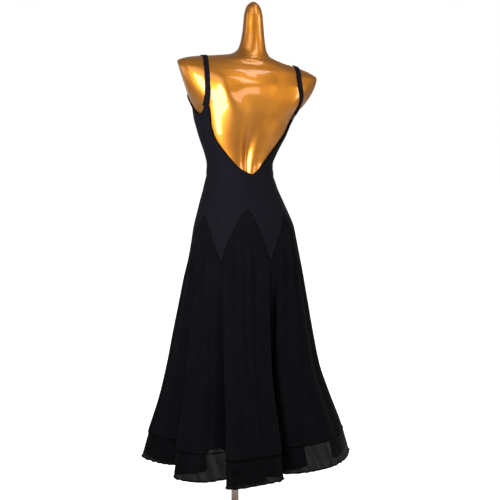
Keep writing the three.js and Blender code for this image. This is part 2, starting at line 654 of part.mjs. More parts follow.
function strap(row) {
  const half = STRAP.width / 2;
  const backFrom = TOP_EDGE[0].z + STRAP.end;
  const frontTo = topEdge(135) + STRAP.end;
  const tracks = [-1, 0, 1].map((edge) => overShoulder(row, edge * half, backFrom, frontTo));
  const grid = (raised) =>
    tracks[0].map((_, step) => {
      const next = tracks[1][Math.min(step + 1, STRAP_STEPS)];
      const before = tracks[1][Math.max(step - 1, 0)];
      const along = next.clone().sub(before);
      const across = tracks[2][step].clone().sub(tracks[0][step]);
      const up = across.cross(along).normalize().multiplyScalar(row.side);
      return tracks.map((track) => {
        return track[step].clone().addScaledVector(up, strapLift(step) + raised);
      });
    });
  const [outer, inner] = [grid(STRAP.thick), grid(0)];
  return row.side > 0 ? wallBetween(outer, inner) : wallBetween(inner, outer);
}
for (const row of STRAPS) addPiece(dress, `strap_${row.name}`, "jersey", strap(row));

// ---------------------------------------------------------------- dress form
const FORM_COLUMNS = 44;
const FORM_HEIGHTS = [
  669, 705, 745, 785, 820, 850, 880, 910, 940, 970, 1000, 1030, 1055, 1080, 1105, 1130, 1155,
  1180, 1205, 1230, 1255, 1278, 1300, 1322, 1344, 1362, 1376, 1388, 1397, 1404, 1411, 1418, 1428,
  1442, 1462, 1492, 1525, 1550, 1568, 1579, 1585,
];

// The loft of the form before its arms are cut off.
function formLoft() {
  const points = [];
  const index = [];
  for (const z of FORM_HEIGHTS)
    for (let c = 0; c < FORM_COLUMNS; c++) points.push(formPoint((360 * c) / FORM_COLUMNS, z));
  const last = FORM_HEIGHTS.length - 1;
  const bottom = points.push(place(formSection(FORM_END), 0, 0, FORM_END)) - 1;
  const top = points.push(place(formSection(1585), 0, 0, 1587)) - 1;
  for (let c = 0; c < FORM_COLUMNS; c++) {
    const next = (c + 1) % FORM_COLUMNS;
    for (let r = 0; r < last; r++) {
      const [a, b] = [r * FORM_COLUMNS + c, r * FORM_COLUMNS + next];
      const [d, e] = [a + FORM_COLUMNS, b + FORM_COLUMNS];
      index.push(a, b, e, a, e, d);
    }
    index.push(bottom, next, c);
    index.push(top, last * FORM_COLUMNS + c, last * FORM_COLUMNS + next);
  }
  const geometry = new THREE.BufferGeometry().setFromPoints(points);
  geometry.setIndex(index);
  return geometry;
}

function solidOf(geometry) {
  const merged = mergeVertices(geometry, 1e-4);
  return new wasm.Manifold(
    new wasm.Mesh({
      numProp: 3,
      vertProperties: merged.attributes.position.array,
      triVerts: new Uint32Array(merged.index.array),
    }),
  );
}

function geometryOf(solid) {
  const mesh = solid.getMesh();
  const geometry = new THREE.BufferGeometry();
  geometry.setAttribute("position", new THREE.BufferAttribute(mesh.vertProperties, 3));
  geometry.setIndex(new THREE.BufferAttribute(mesh.triVerts, 1));
  return geometry;
}

// Where an arm would be, the form ends in a flat oval. forwards: degrees its face looks to the front.
const ARM_CUTS = [
  { side: -1, topOff: 214, topZ: 1385, lowOff: 158, lowZ: 1262, forwards: 10 },
  { side: 1, topOff: 207, topZ: 1385, lowOff: 155, lowZ: 1262, forwards: 10 },
];
const CUTTER = 400;
const CUTTER_FOOT = 10; // how far the block reaches below the lower end of the cut

// A block whose inner face lies in the plane of an arm cut, and whose foot ends at the armpit.
function armCutter(cut) {
  const side = cut.side;
  const at = (off, y, z) => place(formSection(z), -side * off, y, z);
  const middle = at((cut.topOff + cut.lowOff) / 2, 0, (cut.topZ + cut.lowZ) / 2);
  const up = at(cut.topOff, 0, cut.topZ).sub(at(cut.lowOff, 0, cut.lowZ));
  const turn = radians(formSection(1330).turn + side * cut.forwards);
  const depth = new THREE.Vector3(-Math.sin(turn), Math.cos(turn), 0);
  const outward = depth.clone().cross(up).normalize().multiplyScalar(-side);
  if (outward.x * side > 0) outward.negate();
  const basis = new THREE.Matrix4().makeBasis(
    outward,
    depth,
    outward.clone().cross(depth).normalize(),
  );
  const block = new THREE.BoxGeometry(CUTTER, CUTTER, CUTTER).deleteAttribute("normal");
  block.deleteAttribute("uv");
  const reach = (CUTTER - up.length()) / 2 - CUTTER_FOOT;
  middle.addScaledVector(outward, CUTTER / 2).addScaledVector(up.clone().normalize(), reach);
  block.applyMatrix4(basis.setPosition(middle));
  return solidOf(block);
}

const armless = ARM_CUTS.reduce((form, cut) => form.subtract(armCutter(cut)), solidOf(formLoft()));
addPiece(stand, "form_torso", "gold", geometryOf(armless));

// ---------------------------------------------------------------- pole and base
// A round piece turned about Z. profile: [radius, height] pairs up its outside.
function turned(profile, sides) {
  const points = profile.map(([radius, height]) => new THREE.Vector2(radius, height));
  const closed = [new THREE.Vector2(0, profile[0][1]), ...points];
  closed.push(new THREE.Vector2(0, profile[profile.length - 1][1]));
  const geometry = new THREE.LatheGeometry(closed, sides);
  geometry.rotateX(Math.PI / 2);
  geometry.deleteAttribute("normal");
  geometry.deleteAttribute("uv");
  return geometry;
}

const ROUND = 32;
const socketFoot = FORM_END - SEAM - SOCKET.tall;
addPiece(
  stand,
  "base_plate",
  "steel",
  turned(
    [
      [BASE.radius, 0],
      [BASE.radius, BASE.thick - BASE.edge],
      [BASE.radius - BASE.edge, BASE.thick],
    ],
    ROUND,
  ),
);
addPiece(
  stand,
  "base_collar",
  "steel",
  turned(
    [
      [COLLAR.radius, 0],
      [COLLAR.radius, COLLAR.tall - 10],
      [POLE.radius + 3, COLLAR.tall],
    ],
    ROUND,
  ),
  BASE.thick + SEAM,
);
const poleFoot = BASE.thick + SEAM + COLLAR.tall + SEAM;
addPiece(
  stand,
  "pole",
  "steel",
  turned(
    [
      [POLE.radius, 0],
      [POLE.radius, socketFoot - SEAM - poleFoot],
    ],
    20,
  ),
  poleFoot,
);
addPiece(
  stand,
  "pole_socket",
  "steel",
  turned(
    [
      [POLE.radius + 4, 0],
      [SOCKET.radius, 8],
      [SOCKET.radius, SOCKET.tall],
    ],
    ROUND,
  ),
  socketFoot,
);

const part = new THREE.Group();
part.add(dress, stand);
export default part;
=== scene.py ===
import math

import bmesh
import bpy
import numpy as np
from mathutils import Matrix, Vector


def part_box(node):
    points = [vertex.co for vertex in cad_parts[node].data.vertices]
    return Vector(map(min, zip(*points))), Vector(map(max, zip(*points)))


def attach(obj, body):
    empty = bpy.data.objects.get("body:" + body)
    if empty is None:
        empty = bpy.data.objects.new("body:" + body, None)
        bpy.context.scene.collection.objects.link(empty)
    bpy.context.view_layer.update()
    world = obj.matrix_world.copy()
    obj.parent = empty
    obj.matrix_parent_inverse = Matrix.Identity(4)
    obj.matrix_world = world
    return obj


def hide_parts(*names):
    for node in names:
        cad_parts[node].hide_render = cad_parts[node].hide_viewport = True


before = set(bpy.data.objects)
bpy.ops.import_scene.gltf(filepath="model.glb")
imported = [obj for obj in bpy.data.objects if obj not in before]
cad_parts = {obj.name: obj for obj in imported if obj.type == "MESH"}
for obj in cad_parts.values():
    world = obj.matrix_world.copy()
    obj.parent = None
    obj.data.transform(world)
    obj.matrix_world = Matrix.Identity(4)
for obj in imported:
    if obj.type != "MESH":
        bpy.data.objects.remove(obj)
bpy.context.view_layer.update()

# All sizes below are in millimetres, and angles in degrees. Angle 0 is the middle of the back,
# and angles rise towards the wearer's right. Up is +Z and the front faces -Y.
MM = 0.001

# ---------------------------------------------------------------- sizes
EASE = 2.8  # between the form and the inside of the cloth
CLOTH = 1.4  # room that a layer of cloth takes up
JERSEY = 0.9  # thickness of the bodice's cloth
CREPE = 0.5
NET = 0.4
SEAM = 0.3  # gap between pieces
HEM = 220  # height of the lower edge of the skirt
BAND_DEEP = 74
BAND_LAP = 14  # how far the band runs up behind the skirt's own hem
BAND_INSIDE = 1.5  # how far it hangs inside the skirt's cloth
SKIRT_HEM = HEM + BAND_DEEP
LIFTED_FROM = (-39.5, -37)  # angles where the skirt's hem rides up over the net, and down again
LIFTED_TO = (-33, -30.5)
LIFTED_HIGH = 11
LIFTED_FADE = 90  # height over which that is lost
CREASE_SIZE = 1.5
FOLDS_START = 830  # height where the skirt's folds begin
FOLDS_GROW = 1.15  # how late on the way down they open
POINT_HEIGHT = 825  # the points of the bodice between the gores
ARCH = 1.5  # how pointed those are, and how round the tops of the gores
ARCH_FOOT = 800  # a little below the points
SIDE = 92  # angle of the side seams
WAIST_DEGREE = 2.1  # length of cloth in a degree round the waist, and round the chest and the hips
CHEST_DEGREE = 2.6
HIP_DEGREE = 2.75
STRAP_WIDE = 15
STRAP_THICK = 1.6  # room that a strap takes up
STRAP_EASE = 0.6
STRAP_END = 1.5  # gap between a strap's end and the bodice
STRAP_CLOTH = 1.1  # thickness of its cloth
STRAP_FRONT = 135.0  # angle of the top edge where its front end is
STRAP_STEPS = 150
HEM_CORD = 2.3  # radii of the cords and bindings
BAND_CORD = 1.8
SEAM_CORD = 1.0
BINDING = 1.25
BAND_CORD_OUT = 1.1  # how far a cord's middle stands out from the cloth's
SEAM_CORD_OUT = 0.25
BAND_STEP = 2.4  # length of hem between the points of a band
WORN_FROM = 868  # heights of the form between which the cloth lies on it
WORN_TO = 1400
RIDGE = 1425  # above the top of the shoulders
SHOULDERS = 1396  # above this height the form's rings are closer together
FORM_END = 669  # height of the form's underside
FORM_TOP = 1585
ARM_MIDDLE = 1330  # the height whose turn an arm's cut shares
ARM_CUT_EDGE = 1.6  # how far the cut's edge is rounded
ARM_CUT_FOOT = 10  # how far below an armpit the cut of the arm may reach


def table(columns, *rows):
    """Rows of values as one array for each column. columns: their names, in order."""
    return {name: np.array(values) for name, values in zip(columns.split(), zip(*rows))}


def each(rows, columns):
    """The rows of a table, one by one, with only those columns."""
    return zip(*(rows[name] for name in columns.split()))


# ---------------------------------------------------------------- tables
# Sections of the form. shift and set: the section's middle in X and Y. half: half width. back
# and front: half depths. square: 2 is an ellipse. turn and roll: degrees about Z and Y.
FORM = table(
    "z shift set half back front square turn roll",
    (669, -18, 0, 126, 84, 84, 2.1, 0, 0),
    (720, -22, 0, 137, 94, 91, 2.1, 0, 0),
    (780, -26, 0, 147, 105, 97, 2.1, 0, 0),
    (840, -29, 0, 154, 114, 101, 2.1, 0, 0),
    (880, -29, 0, 155, 118, 102, 2.1, 0, 0),
    (920, -28, 0, 148, 116, 102, 2.1, 1, 0),
    (960, -25, 0, 135, 107, 101, 2.1, 3, 0),
    (1000, -21, 0, 121, 95, 98, 2.1, 6, 0),
    (1040, -18, 0, 107, 83, 94, 2.1, 9, 0),
    (1075, -17, 0, 98, 75, 91, 2.1, 12, 0),
    (1105, -17, 0, 96, 71, 90, 2.1, 14, 0.6),
    (1135, -19, 0, 105, 73, 90, 2.1, 15, 1.4),
    (1170, -21, 0, 120, 79, 93, 2.15, 16, 2.4),
    (1200, -24, 0, 132, 84, 98, 2.2, 16, 3.2),
    (1235, -27, 0, 143, 88, 102, 2.2, 16, 4.1),
    (1265, -30, 0, 154, 91, 101, 2.25, 15, 4.8),
    (1300, -33, 0, 182, 92, 94, 2.3, 14, 5.6),
    (1340, -37, 0, 206, 87, 80, 2.3, 12, 6.2),
    (1368, -40, -1, 214, 76, 66, 2.3, 11, 6.5),
    (1386, -42, -3, 214, 66, 56, 2.3, 10, 6),
    (1398, -43, -5, 197, 57, 49, 2.25, 10, 5.6),
    (1408, -44, -7, 163, 49, 44, 2.2, 10, 5.4),
    (1418, -46, -9, 108, 43, 40, 2.1, 10, 5),
    (1430, -51, -11, 60, 40, 38, 2, 10, 3.6),
    (1448, -55, -13, 43, 37, 36, 2, 10, 1.4),
    (1480, -57.5, -15, 35.5, 33, 33, 2, 10, 0),
    (1512, -58.5, -16, 31.5, 30, 30, 2, 10, 0),
    (1545, -58.5, -16, 28.5, 28, 28, 2, 10, 0),
    (1565, -58.5, -16, 24, 24, 24, 2, 10, 0),
    (1578, -58.5, -16, 17, 17, 17, 2, 10, 0),
    (1585, -58.5, -16, 8, 8, 8, 2, 10, 0),
)
# Soft relief on the form. reach: outwards. wide: degrees. worn: the cloth takes the shape too.
RELIEF = table(
    "name angle z reach wide tall worn",
    ("left bust", -143, 1238, 23, 23, 50, True),
    ("right bust", 143, 1238, 23, 23, 50, True),
    ("left shoulder blade", -20, 1292, 8, 14, 58, True),
    ("right shoulder blade", 42, 1300, 8, 13, 58, True),
    ("spine", 2, 1190, -9, 10, 95, False),
    ("low spine", 0, 1095, -5, 4.5, 45, False),
)
# Rings of the skirt below the hips, before its folds are put in.
SKIRT = table(
    "z shift half back front",
    (220, -34, 321, 338, 318),
    (294, -34, 300, 310, 290),
    (325, -34, 289, 292, 275),
    (400, -32, 262, 258, 244),
    (495, -27.5, 234, 221, 209),
    (595, -27, 213.5, 187, 178),
    (694, -28, 194, 159, 148),
    (768, -29, 179.5, 139, 125),
    (817, -30, 170.5, 128, 112),
)
# The hem's line seen from above. The cloth that leaves the hips at an angle hangs to x and y.
HEM_LINE = table(
    "angle x y",
    (-115, 258, -128), (-111, 252, -84), (-109, 238, -26), (-107, 214, 28), (-105.4, 190, 60),
    (-104.6, 177, 74), (-103.9, 180, 87), (-102, 206, 81), (-99, 240, 52), (-96.6, 264, 14),
    (-95, 274, -12), (-93.2, 283, -8), (-91, 286, 2), (-88, 286, 12), (-84, 284, 24),
    (-77, 251, 65), (-71, 212, 96), (-67, 171, 108), (-65, 129, 105), (-63.5, 103, 110),
    (-62.5, 94, 138), (-61.5, 108, 172), (-60, 143, 186), (-58.5, 179, 187), (-57, 192, 211),
    (-53, 169, 238), (-46, 134, 256), (-38, 95, 261), (-32.5, 57, 248), (-30, 22, 233),
    (-28.8, -18, 228), (-27.6, -60, 247), (-27, -69, 264), (-26.4, -54, 277), (-25.6, -2, 294),
    (-25, 36, 299), (-24.4, 48, 315), (-22, 34, 324), (-14, 0, 319), (-5, -31, 307),
    (5, -62, 294), (15, -93, 280), (19.5, -116, 267), (21, -121, 249), (22, -107, 236),
    (22.8, -79, 227), (23.5, -56, 199), (24, -68, 161), (24.6, -111, 145), (25.2, -155, 133),
    (26, -194, 108), (26.8, -205, 132), (27.8, -180, 166), (29.5, -139, 185), (32, -119, 200),
    (38, -142, 212), (46, -192, 205), (54, -236, 187), (62, -278, 160), (70, -312, 121),
    (77, -337, 77), (84, -353, 27), (88, -358, 4), (91, -357, -8), (93.2, -353, -24),
    (95, -344, -25), (96.6, -335, 6), (99, -321, 44), (101.2, -306, 67), (102.4, -297, 72),
    (103.4, -296, 58), (105.6, -310, 16), (108, -326, -34), (111, -333, -84), (114, -327, -124),
)
# Folds of the hem round the front. lean: sideways slant of the fold.
FRONT_FOLDS = table(
    "angle deep wide lean",
    (126, 66, 8, 1.5),
    (152, 80, 8.5, -2),
    (180, 46, 8, 1),
    (208, 76, 8.5, 2),
    (232, 62, 8, -1.5),
)
# One fold's shape. from and to: shares of its width, where its cloth leaves the hips and where
# it hangs to. in: share of its depth.
FOLD_SHAPE = table(
    "from to in",
    (-1, -0.62, 0), (-0.6, -0.5, 0.42), (-0.32, -0.56, 0.85), (0, 0, 1),
    (0.32, 0.56, 0.85), (0.6, 0.5, 0.42), (1, 0.62, 0),
)
# The six gores. A peak is the top of a gore, between two points of the bodice.
GORES = table(
    "name from peak to height",
    ("back_centre", -27, 0, 23.5, 975),
    ("back_right", 23.5, 55, 92, 956),
    ("front_right", 92, 122, 152, 950),
    ("front_centre", 152, 180, 208, 962),
    ("front_left", 208, 238, 268, 950),
    ("back_left", 268, 300, 333, 956),
)
# The back neckline. half: half opening in degrees. middle: where its middle is.
NECKLINE = table(
    "z half middle",
    (1077, 0, 7.5), (1086, 10, 6), (1104, 23, 4), (1134, 37.5, 1.5),
    (1176, 51.5, 0), (1220, 58.5, 2.5), (1264, 58.5, 4.5),
)
# The top edge of the bodice, alike on both sides, from the strap to the middle of the front.
TOP_EDGE = table(
    "angle z",
    (58.5, 1264), (65, 1263), (70, 1251), (77, 1243), (84, 1245),
    (92, 1251), (103, 1264), (112, 1279), (122, 1299), (131, 1308),
    (139, 1308), (146, 1296), (158, 1279), (169, 1270), (180, 1268),
)
# Each strap's distance from the middle plane, at its back end, top and front end.
STRAPS = table(
    "name side back top front",
    ("left", -1, 135, 140, 138),
    ("right", 1, 148, 139, 138),
)
# Where an arm would be, the form ends in a flat oval. forwards: degrees that it looks forwards.
ARM_CUTS = table(
    "side topOff topZ lowOff lowZ forwards",
    (-1, 214, 1385, 158, 1262, 10),
    (1, 207, 1385, 155, 1262, 10),
)
# Soft creases of the cloth. high: outwards, or inwards if negative. lean: degrees it moves by
# the time it reaches its foot. It fades in below top and out above foot.
CREASES = table(
    "angle wide high lean top foot",
    (-19, 1.7, 1.6, 1, 900, 330), (-13.5, 1.5, -2.2, 2, 930, 250),
    (-8, 1.8, 1.8, 1.5, 945, 300), (-3.5, 1.3, -1.8, 1, 925, 380),
    (2, 1.9, 2.2, -0.5, 935, 240), (7, 1.4, -2.4, -1, 900, 300),
    (12, 1.7, 1.9, -1, 880, 330), (17, 1.3, -1.4, -0.5, 850, 260),
    (31, 1.8, -1.6, 3, 860, 300), (37, 2, 2.2, 2, 905, 250),
    (43, 1.6, -2.6, 3, 925, 280), (50, 2.4, 2.4, 2, 930, 240),
    (57, 1.8, -2.8, 2, 925, 230), (64, 2.2, 2, 1, 900, 300),
    (71, 2, -2.2, 1, 870, 260), (79, 2.4, 1.8, 0, 850, 330),
    (87, 2.1, -2, 0, 840, 250), (97, 2.2, 2, 0, 860, 300),
    (112, 2.4, -2.4, 0, 890, 240), (118, 2, 2.4, -1, 900, 260),
    (137, 2.2, -2.2, 1, 880, 280), (142, 1.8, 2, 0, 860, 240),
    (163, 2, 2.4, -1, 880, 300), (168, 1.8, -2, 0, 910, 240),
    (189, 1.8, -2.2, 0, 900, 250), (196, 2.2, 2.4, 1, 880, 300),
    (217, 2, -2, 0, 870, 260), (223, 2.2, 2.2, -1, 890, 240),
    (241, 2, -2.2, 0, 890, 250), (246, 1.8, 2, 0, 860, 300),
    (263, 2, -2, 0, 850, 250), (271, 2.2, 2.2, 0, 850, 300),
    (278, 2, -2.4, -1, 870, 240), (286, 2.2, 2, -1, 900, 300),
    (305, 2, 2.4, -2, 930, 260), (311, 1.6, -2.4, -2, 920, 240),
    (317, 2, 2, -1, 900, 300), (323, 1.6, -1.8, -1, 870, 260),
)
# Drag lines in the bodice. long and wide: mm along and across it. tilt: degrees, rising with the
# angle. deep: how far it sinks in.
DRAG_LINES = table(
    "angle z long wide tilt deep",
    (-22, 1062, 46, 5, 12, 1.1), (24, 1050, 52, 5, -10, 1.2),
    (-40, 1028, 40, 6, 8, 0.8), (46, 1018, 44, 6, -14, 0.9),
    (8, 1032, 36, 5, 6, 0.7), (-64, 1080, 48, 6, 16, 1.2),
    (70, 1072, 50, 6, -12, 1.2), (-80, 1045, 36, 5, -8, 0.9),
    (84, 1098, 42, 6, 10, 1), (104, 1064, 46, 6, 8, 1.1),
    (128, 1040, 50, 6, -6, 1), (156, 1060, 44, 6, 5, 0.9),
    (184, 1036, 52, 6, -4, 0.9), (212, 1062, 46, 6, 8, 1),
    (238, 1046, 48, 6, -9, 1), (260, 1076, 44, 6, 12, 1.1),
    (-12, 1000, 30, 7, -20, 0.6), (14, 985, 34, 7, 18, 0.6),
)
# Finer hollows and ridges of the form's bare back. reach: how far one stands out in mm.
BARE_BACK = table(
    "angle z reach wide tall",
    (-23.2, 1311, 3.1, 5, 36),
    (-1.5, 1413, 5.2, 25, 12),
    (17, 1293, -2.2, 5.7, 82),
    (-3.5, 1147, -9.5, 7.5, 62),
    (-3.3, 1336, 5, 14, 31),
)


# ---------------------------------------------------------------- the shape of the cloth
def smooth_curve(knots, values):
    """A smooth curve through a column of a table that never swings past its values."""
    knots, values = np.asarray(knots, float), np.asarray(values, float)
    last = len(knots) - 1
    chord = np.diff(values) / np.diff(knots)
    slope = np.empty(len(knots))
    slope[0], slope[-1] = chord[0], chord[-1]
    product = chord[:-1] * chord[1:]
    total = np.where(product > 0, chord[:-1] + chord[1:], 1)
    slope[1:-1] = np.where(product > 0, 2 * product / total, 0)

    def at(key):
        key = np.clip(key, knots[0], knots[-1])
        i = np.clip(np.searchsorted(knots, key, side="right") - 1, 0, last - 1)
        span = knots[i + 1] - knots[i]
        u = (key - knots[i]) / span
        rise = values[i + 1] - values[i]
        s0, s1 = slope[i] * span, slope[i + 1] * span
        return values[i] + u * (s0 + u * (3 * rise - 2 * s0 - s1 + u * (s0 + s1 - 2 * rise)))

    return at


def smooth_table(rows):
    """A table of sections as a function that gives every column at a height."""
    curves = {name: smooth_curve(rows["z"], column) for name, column in rows.items()}
    return lambda z: {name: curve(z) for name, curve in curves.items()}


def smooth_step(value, low, high):
    share = np.clip((value - low) / (high - low), 0, 1)
    return share * share * (3 - 2 * share)


def mix(a, b, share):
    return a + (b - a) * share


def worn_sections():
    """The skirt's rings below the hips, and above them the form's sections with the ease."""
    worn = (FORM["z"] >= WORN_FROM) & (FORM["z"] < WORN_TO)
    rows = {name: column[worn].astype(float) for name, column in FORM.items()}
    for name in ("half", "back", "front"):
        rows[name] = rows[name] + EASE + CLOTH / 2
    below = {**SKIRT, "set": 0, "square": 2, "turn": 0, "roll": 0}
    for name, column in rows.items():
        low = np.broadcast_to(below[name], len(SKIRT["z"]))
        rows[name] = np.concatenate([low, column])
    return rows


form_section = smooth_table(FORM)
cloth_section = smooth_table(worn_sections())


def in_section(section, x, y, z):
    """A place in a section's own axes, put into the dress's frame."""
    turn = np.radians(section["turn"])
    rolled = z + x * np.tan(np.radians(section["roll"]))
    ahead = section["shift"] + x * np.cos(turn) - y * np.sin(turn)
    aside = section["set"] + x * np.sin(turn) + y * np.cos(turn)
    return np.stack(np.broadcast_arrays(ahead, aside, rolled), axis=-1)


def on_outline(section, angle, z, out):
    """A place on a section's outline, moved outwards by out."""
    sine, cosine = np.sin(np.radians(angle)), np.cos(np.radians(angle))
    power = 2 / section["square"]
    depth = np.where(cosine > 0, section["back"], section["front"])
    x = -(section["half"] + out) * np.sign(sine) * np.abs(sine) ** power
    y = (depth + out) * np.sign(cosine) * np.abs(cosine) ** power
    return in_section(section, x, y, z)


def turn_between(a, b):
    """The shortest way from one angle to another."""
    return (b - a + 180) % 360 - 180


def swellings(rows, angle, z):
    """How far the rows of a table of relief push a surface out."""
    out = 0.0
    for row_angle, row_z, reach, wide, tall in each(rows, "angle z reach wide tall"):
        across = turn_between(row_angle, angle) / wide
        out = out + reach * np.exp(-(across**2) - ((z - row_z) / tall) ** 2)
    return out


WORN_RELIEF = {name: column[RELIEF["worn"]] for name, column in RELIEF.items()}


def form_point(angle, z):
    """A place on the form."""
    out = swellings(RELIEF, angle, z) + swellings(BARE_BACK, angle, z)
    return on_outline(form_section(z), angle, z, out)


def ring_point(angle, z):
    """A place on the cloth as it lies on the form, before the skirt's folds."""
    return on_outline(cloth_section(z), angle, z, swellings(WORN_RELIEF, angle, z))


def front_hem():
    """Rows of the hem's line through the folds of the front, like the rows of HEM_LINE."""
    middle = cloth_section(HEM)["shift"]
    folds = list(each(FRONT_FOLDS, "angle deep wide lean"))
    rows = []
    for i, (angle, deep, wide, lean) in enumerate(folds):
        for start, to, inside in each(FOLD_SHAPE, "from to in"):
            x, y, _ = ring_point(angle + to * wide + lean * inside, float(HEM))
            share = 1 - deep * inside / math.hypot(x - middle, y)
            rows.append((angle + start * wide, middle + (x - middle) * share, y * share))
        if i + 1 < len(folds):
            crest = (angle + wide + folds[i + 1][0] - folds[i + 1][2]) / 2
            x, y, _ = ring_point(crest, float(HEM))
            rows.append((crest, x, y))
    return np.array(rows)


HEM_ROWS = np.concatenate([list(each(HEM_LINE, "angle x y")), front_hem()])


def hem_point(angle):
    """A place on the hem's line, on a smooth closed curve through its rows."""
    angles, places = HEM_ROWS[:, 0], HEM_ROWS[:, 1:]
    count = len(angles)
    turned = (angle - angles[0]) % 360 + angles[0]
    i = np.searchsorted(angles, turned, side="right") - 1
    p0, p1, p2, p3 = (places[(i + k) % count] for k in (-1, 0, 1, 2))
    end = np.where(i == count - 1, angles[0] + 360, angles[(i + 1) % count])
    t = ((turned - angles[i]) / (end - angles[i]))[..., None]
    d0, d1, d2 = (
        np.sqrt(np.linalg.norm(b - a, axis=-1, keepdims=True))
        for a, b in ((p0, p1), (p1, p2), (p2, p3))
    )

    def tangent(a, b, c, before, after):
        return ((b - a) / before - (c - a) / (before + after) + (c - b) / after) * d1

    m1, m2 = tangent(p0, p1, p2, d0, d1), tangent(p1, p2, p3, d1, d2)
    return (
        p1 * (2 * t**3 - 3 * t**2 + 1)
        + m1 * (t**3 - 2 * t**2 + t)
        + p2 * (3 * t**2 - 2 * t**3)
        + m2 * (t**3 - t**2)
    )


def down_folds(z):
    """How far down the folds a height is, 0 where they begin and 1 at the hem."""
    return np.maximum(0, (FOLDS_START - z) / (FOLDS_START - HEM))


def cloth_point(angle, z):
    """A place on the middle of the cloth that leaves the hips at that angle."""
    point = ring_point(angle, z)
    grown = (down_folds(z) ** FOLDS_GROW)[..., None]
    ring = ring_point(angle, np.full_like(z, HEM))
    point[..., :2] += grown * (hem_point(angle) - ring[..., :2])
    return point


def creases(angle, z):
    """How far the soft creases push the skirt's cloth out."""
    out = np.zeros_like(z)
    for row_angle, wide, high, lean, top, foot in each(CREASES, "angle wide high lean top foot"):
        way = np.clip((top - z) / (top - foot), 0, 1)
        across = turn_between(row_angle + lean * way, angle) / wide
        fade = smooth_step(z, foot - 90, foot + 60) * (1 - smooth_step(z, top - 90, top))
        out += CREASE_SIZE * high * fade * np.exp(-(across**2))
    return out


def drag_lines(angle, z):
    """How far the drag lines pull the bodice's cloth in, along its width in mm."""
    out = np.zeros_like(z)
    for row_angle, row_z, long, wide, tilt, deep in each(DRAG_LINES, "angle z long wide tilt deep"):
        across = turn_between(row_angle, angle) * WAIST_DEGREE
        slope = math.radians(tilt)
        along = across * math.cos(slope) + (z - row_z) * math.sin(slope)
        off = (z - row_z) * math.cos(slope) - across * math.sin(slope)
        bow = off + along**2 / (4 * long)
        line = np.exp(-((along / long) ** 2))
        trough = np.exp(-((bow / wide) ** 2))
        ridge = 0.6 * np.exp(-(((bow - 2 * wide) / wide) ** 2))
        out -= deep * line * (trough - ridge)
    return out


def seam_height(angle):
    """The height of the zigzag seam between the bodice and the gores."""
    turned = (angle - GORES["from"][0]) % 360 + GORES["from"][0]
    i = np.searchsorted(GORES["from"], turned, side="right") - 1
    peak = GORES["peak"][i]
    end = np.where(turned < peak, GORES["from"][i], GORES["to"][i])
    share = np.abs((turned - peak) / (end - peak))
    return mix(GORES["height"][i], POINT_HEIGHT, np.minimum(share, 1) ** ARCH)


def seam_rise(angle):
    """Half the seam's gap in height: more where the seam climbs."""
    slope = np.abs(seam_height(angle + 0.1) - seam_height(angle - 0.1)) / 0.2 / HIP_DEGREE
    return SEAM / 2 * np.hypot(1, slope) + 0.05


def hem_angles(start, end, shares):
    """The angles that part a gore's hem by shares of its length, closer where it turns."""
    turn_weight = 22
    sample = np.linspace(start, end, int((end - start) * 40))
    places = hem_point(sample)
    steps = np.diff(places, axis=0)
    heading = np.unwrap(np.arctan2(steps[:, 1], steps[:, 0]))
    turn = np.abs(np.diff(heading, prepend=heading[0]))
    run = np.concatenate([[0], np.cumsum(np.linalg.norm(steps, axis=1) + turn_weight * turn)])
    return np.interp(shares * run[-1], run, sample)


# ---------------------------------------------------------------- grids and meshes
def normals_of(grid):
    """The outward normal at each point of a grid, rows upwards and columns by rising angle."""
    normal = np.cross(np.gradient(grid, axis=1), np.gradient(grid, axis=0))
    return normal / np.maximum(np.linalg.norm(normal, axis=-1, keepdims=True), 1e-9)


def lengths(grid, axis):
    """The length of cloth from the first row or column to each point."""
    steps = np.linalg.norm(np.diff(grid, axis=axis), axis=-1)
    run = np.cumsum(steps, axis=axis)
    pad = [(0, 0), (0, 0)]
    pad[axis] = (1, 0)
    return np.pad(run, pad)


def edge_shares(count, close=(0.0025, 0.006, 0.011, 0.018)):
    """Shares of a panel from edge to edge, with some close to its edges for the seams."""
    middle = np.linspace(0.028, 0.972, count)
    return np.concatenate([[0], close, middle, 1 - np.array(close)[::-1], [1]])


def placed(name, data):
    thing = bpy.data.objects.new(name, data)
    bpy.context.scene.collection.objects.link(thing)
    return thing


def mesh_object(name, points, faces, uvs=None, sharp=60):
    """A smooth mesh from points in millimetres. uvs: metres of cloth at each point."""
    mesh = bpy.data.meshes.new(name)
    mesh.from_pydata((np.asarray(points) * MM).tolist(), [], [list(face) for face in faces])
    mesh.shade_smooth()
    mesh.set_sharp_from_angle(angle=math.radians(sharp))
    if uvs is not None:
        layer = mesh.uv_layers.new(name="cloth")
        corners = np.empty(len(mesh.loops), dtype=np.int32)
        mesh.loops.foreach_get("vertex_index", corners)
        layer.data.foreach_set("uv", np.asarray(uvs, dtype=np.float32)[corners].ravel())
    return placed(name, mesh)


def grid_faces(rows, columns, first=0, turned=False):
    """Faces over a grid of points, counted row by row from the point numbered first."""
    r, c = np.meshgrid(np.arange(rows - 1), np.arange(columns - 1), indexing="ij")
    a = first + (r * columns + c).ravel()
    quads = np.stack([a, a + 1, a + columns + 1, a + columns], axis=1)
    return quads[:, ::-1] if turned else quads


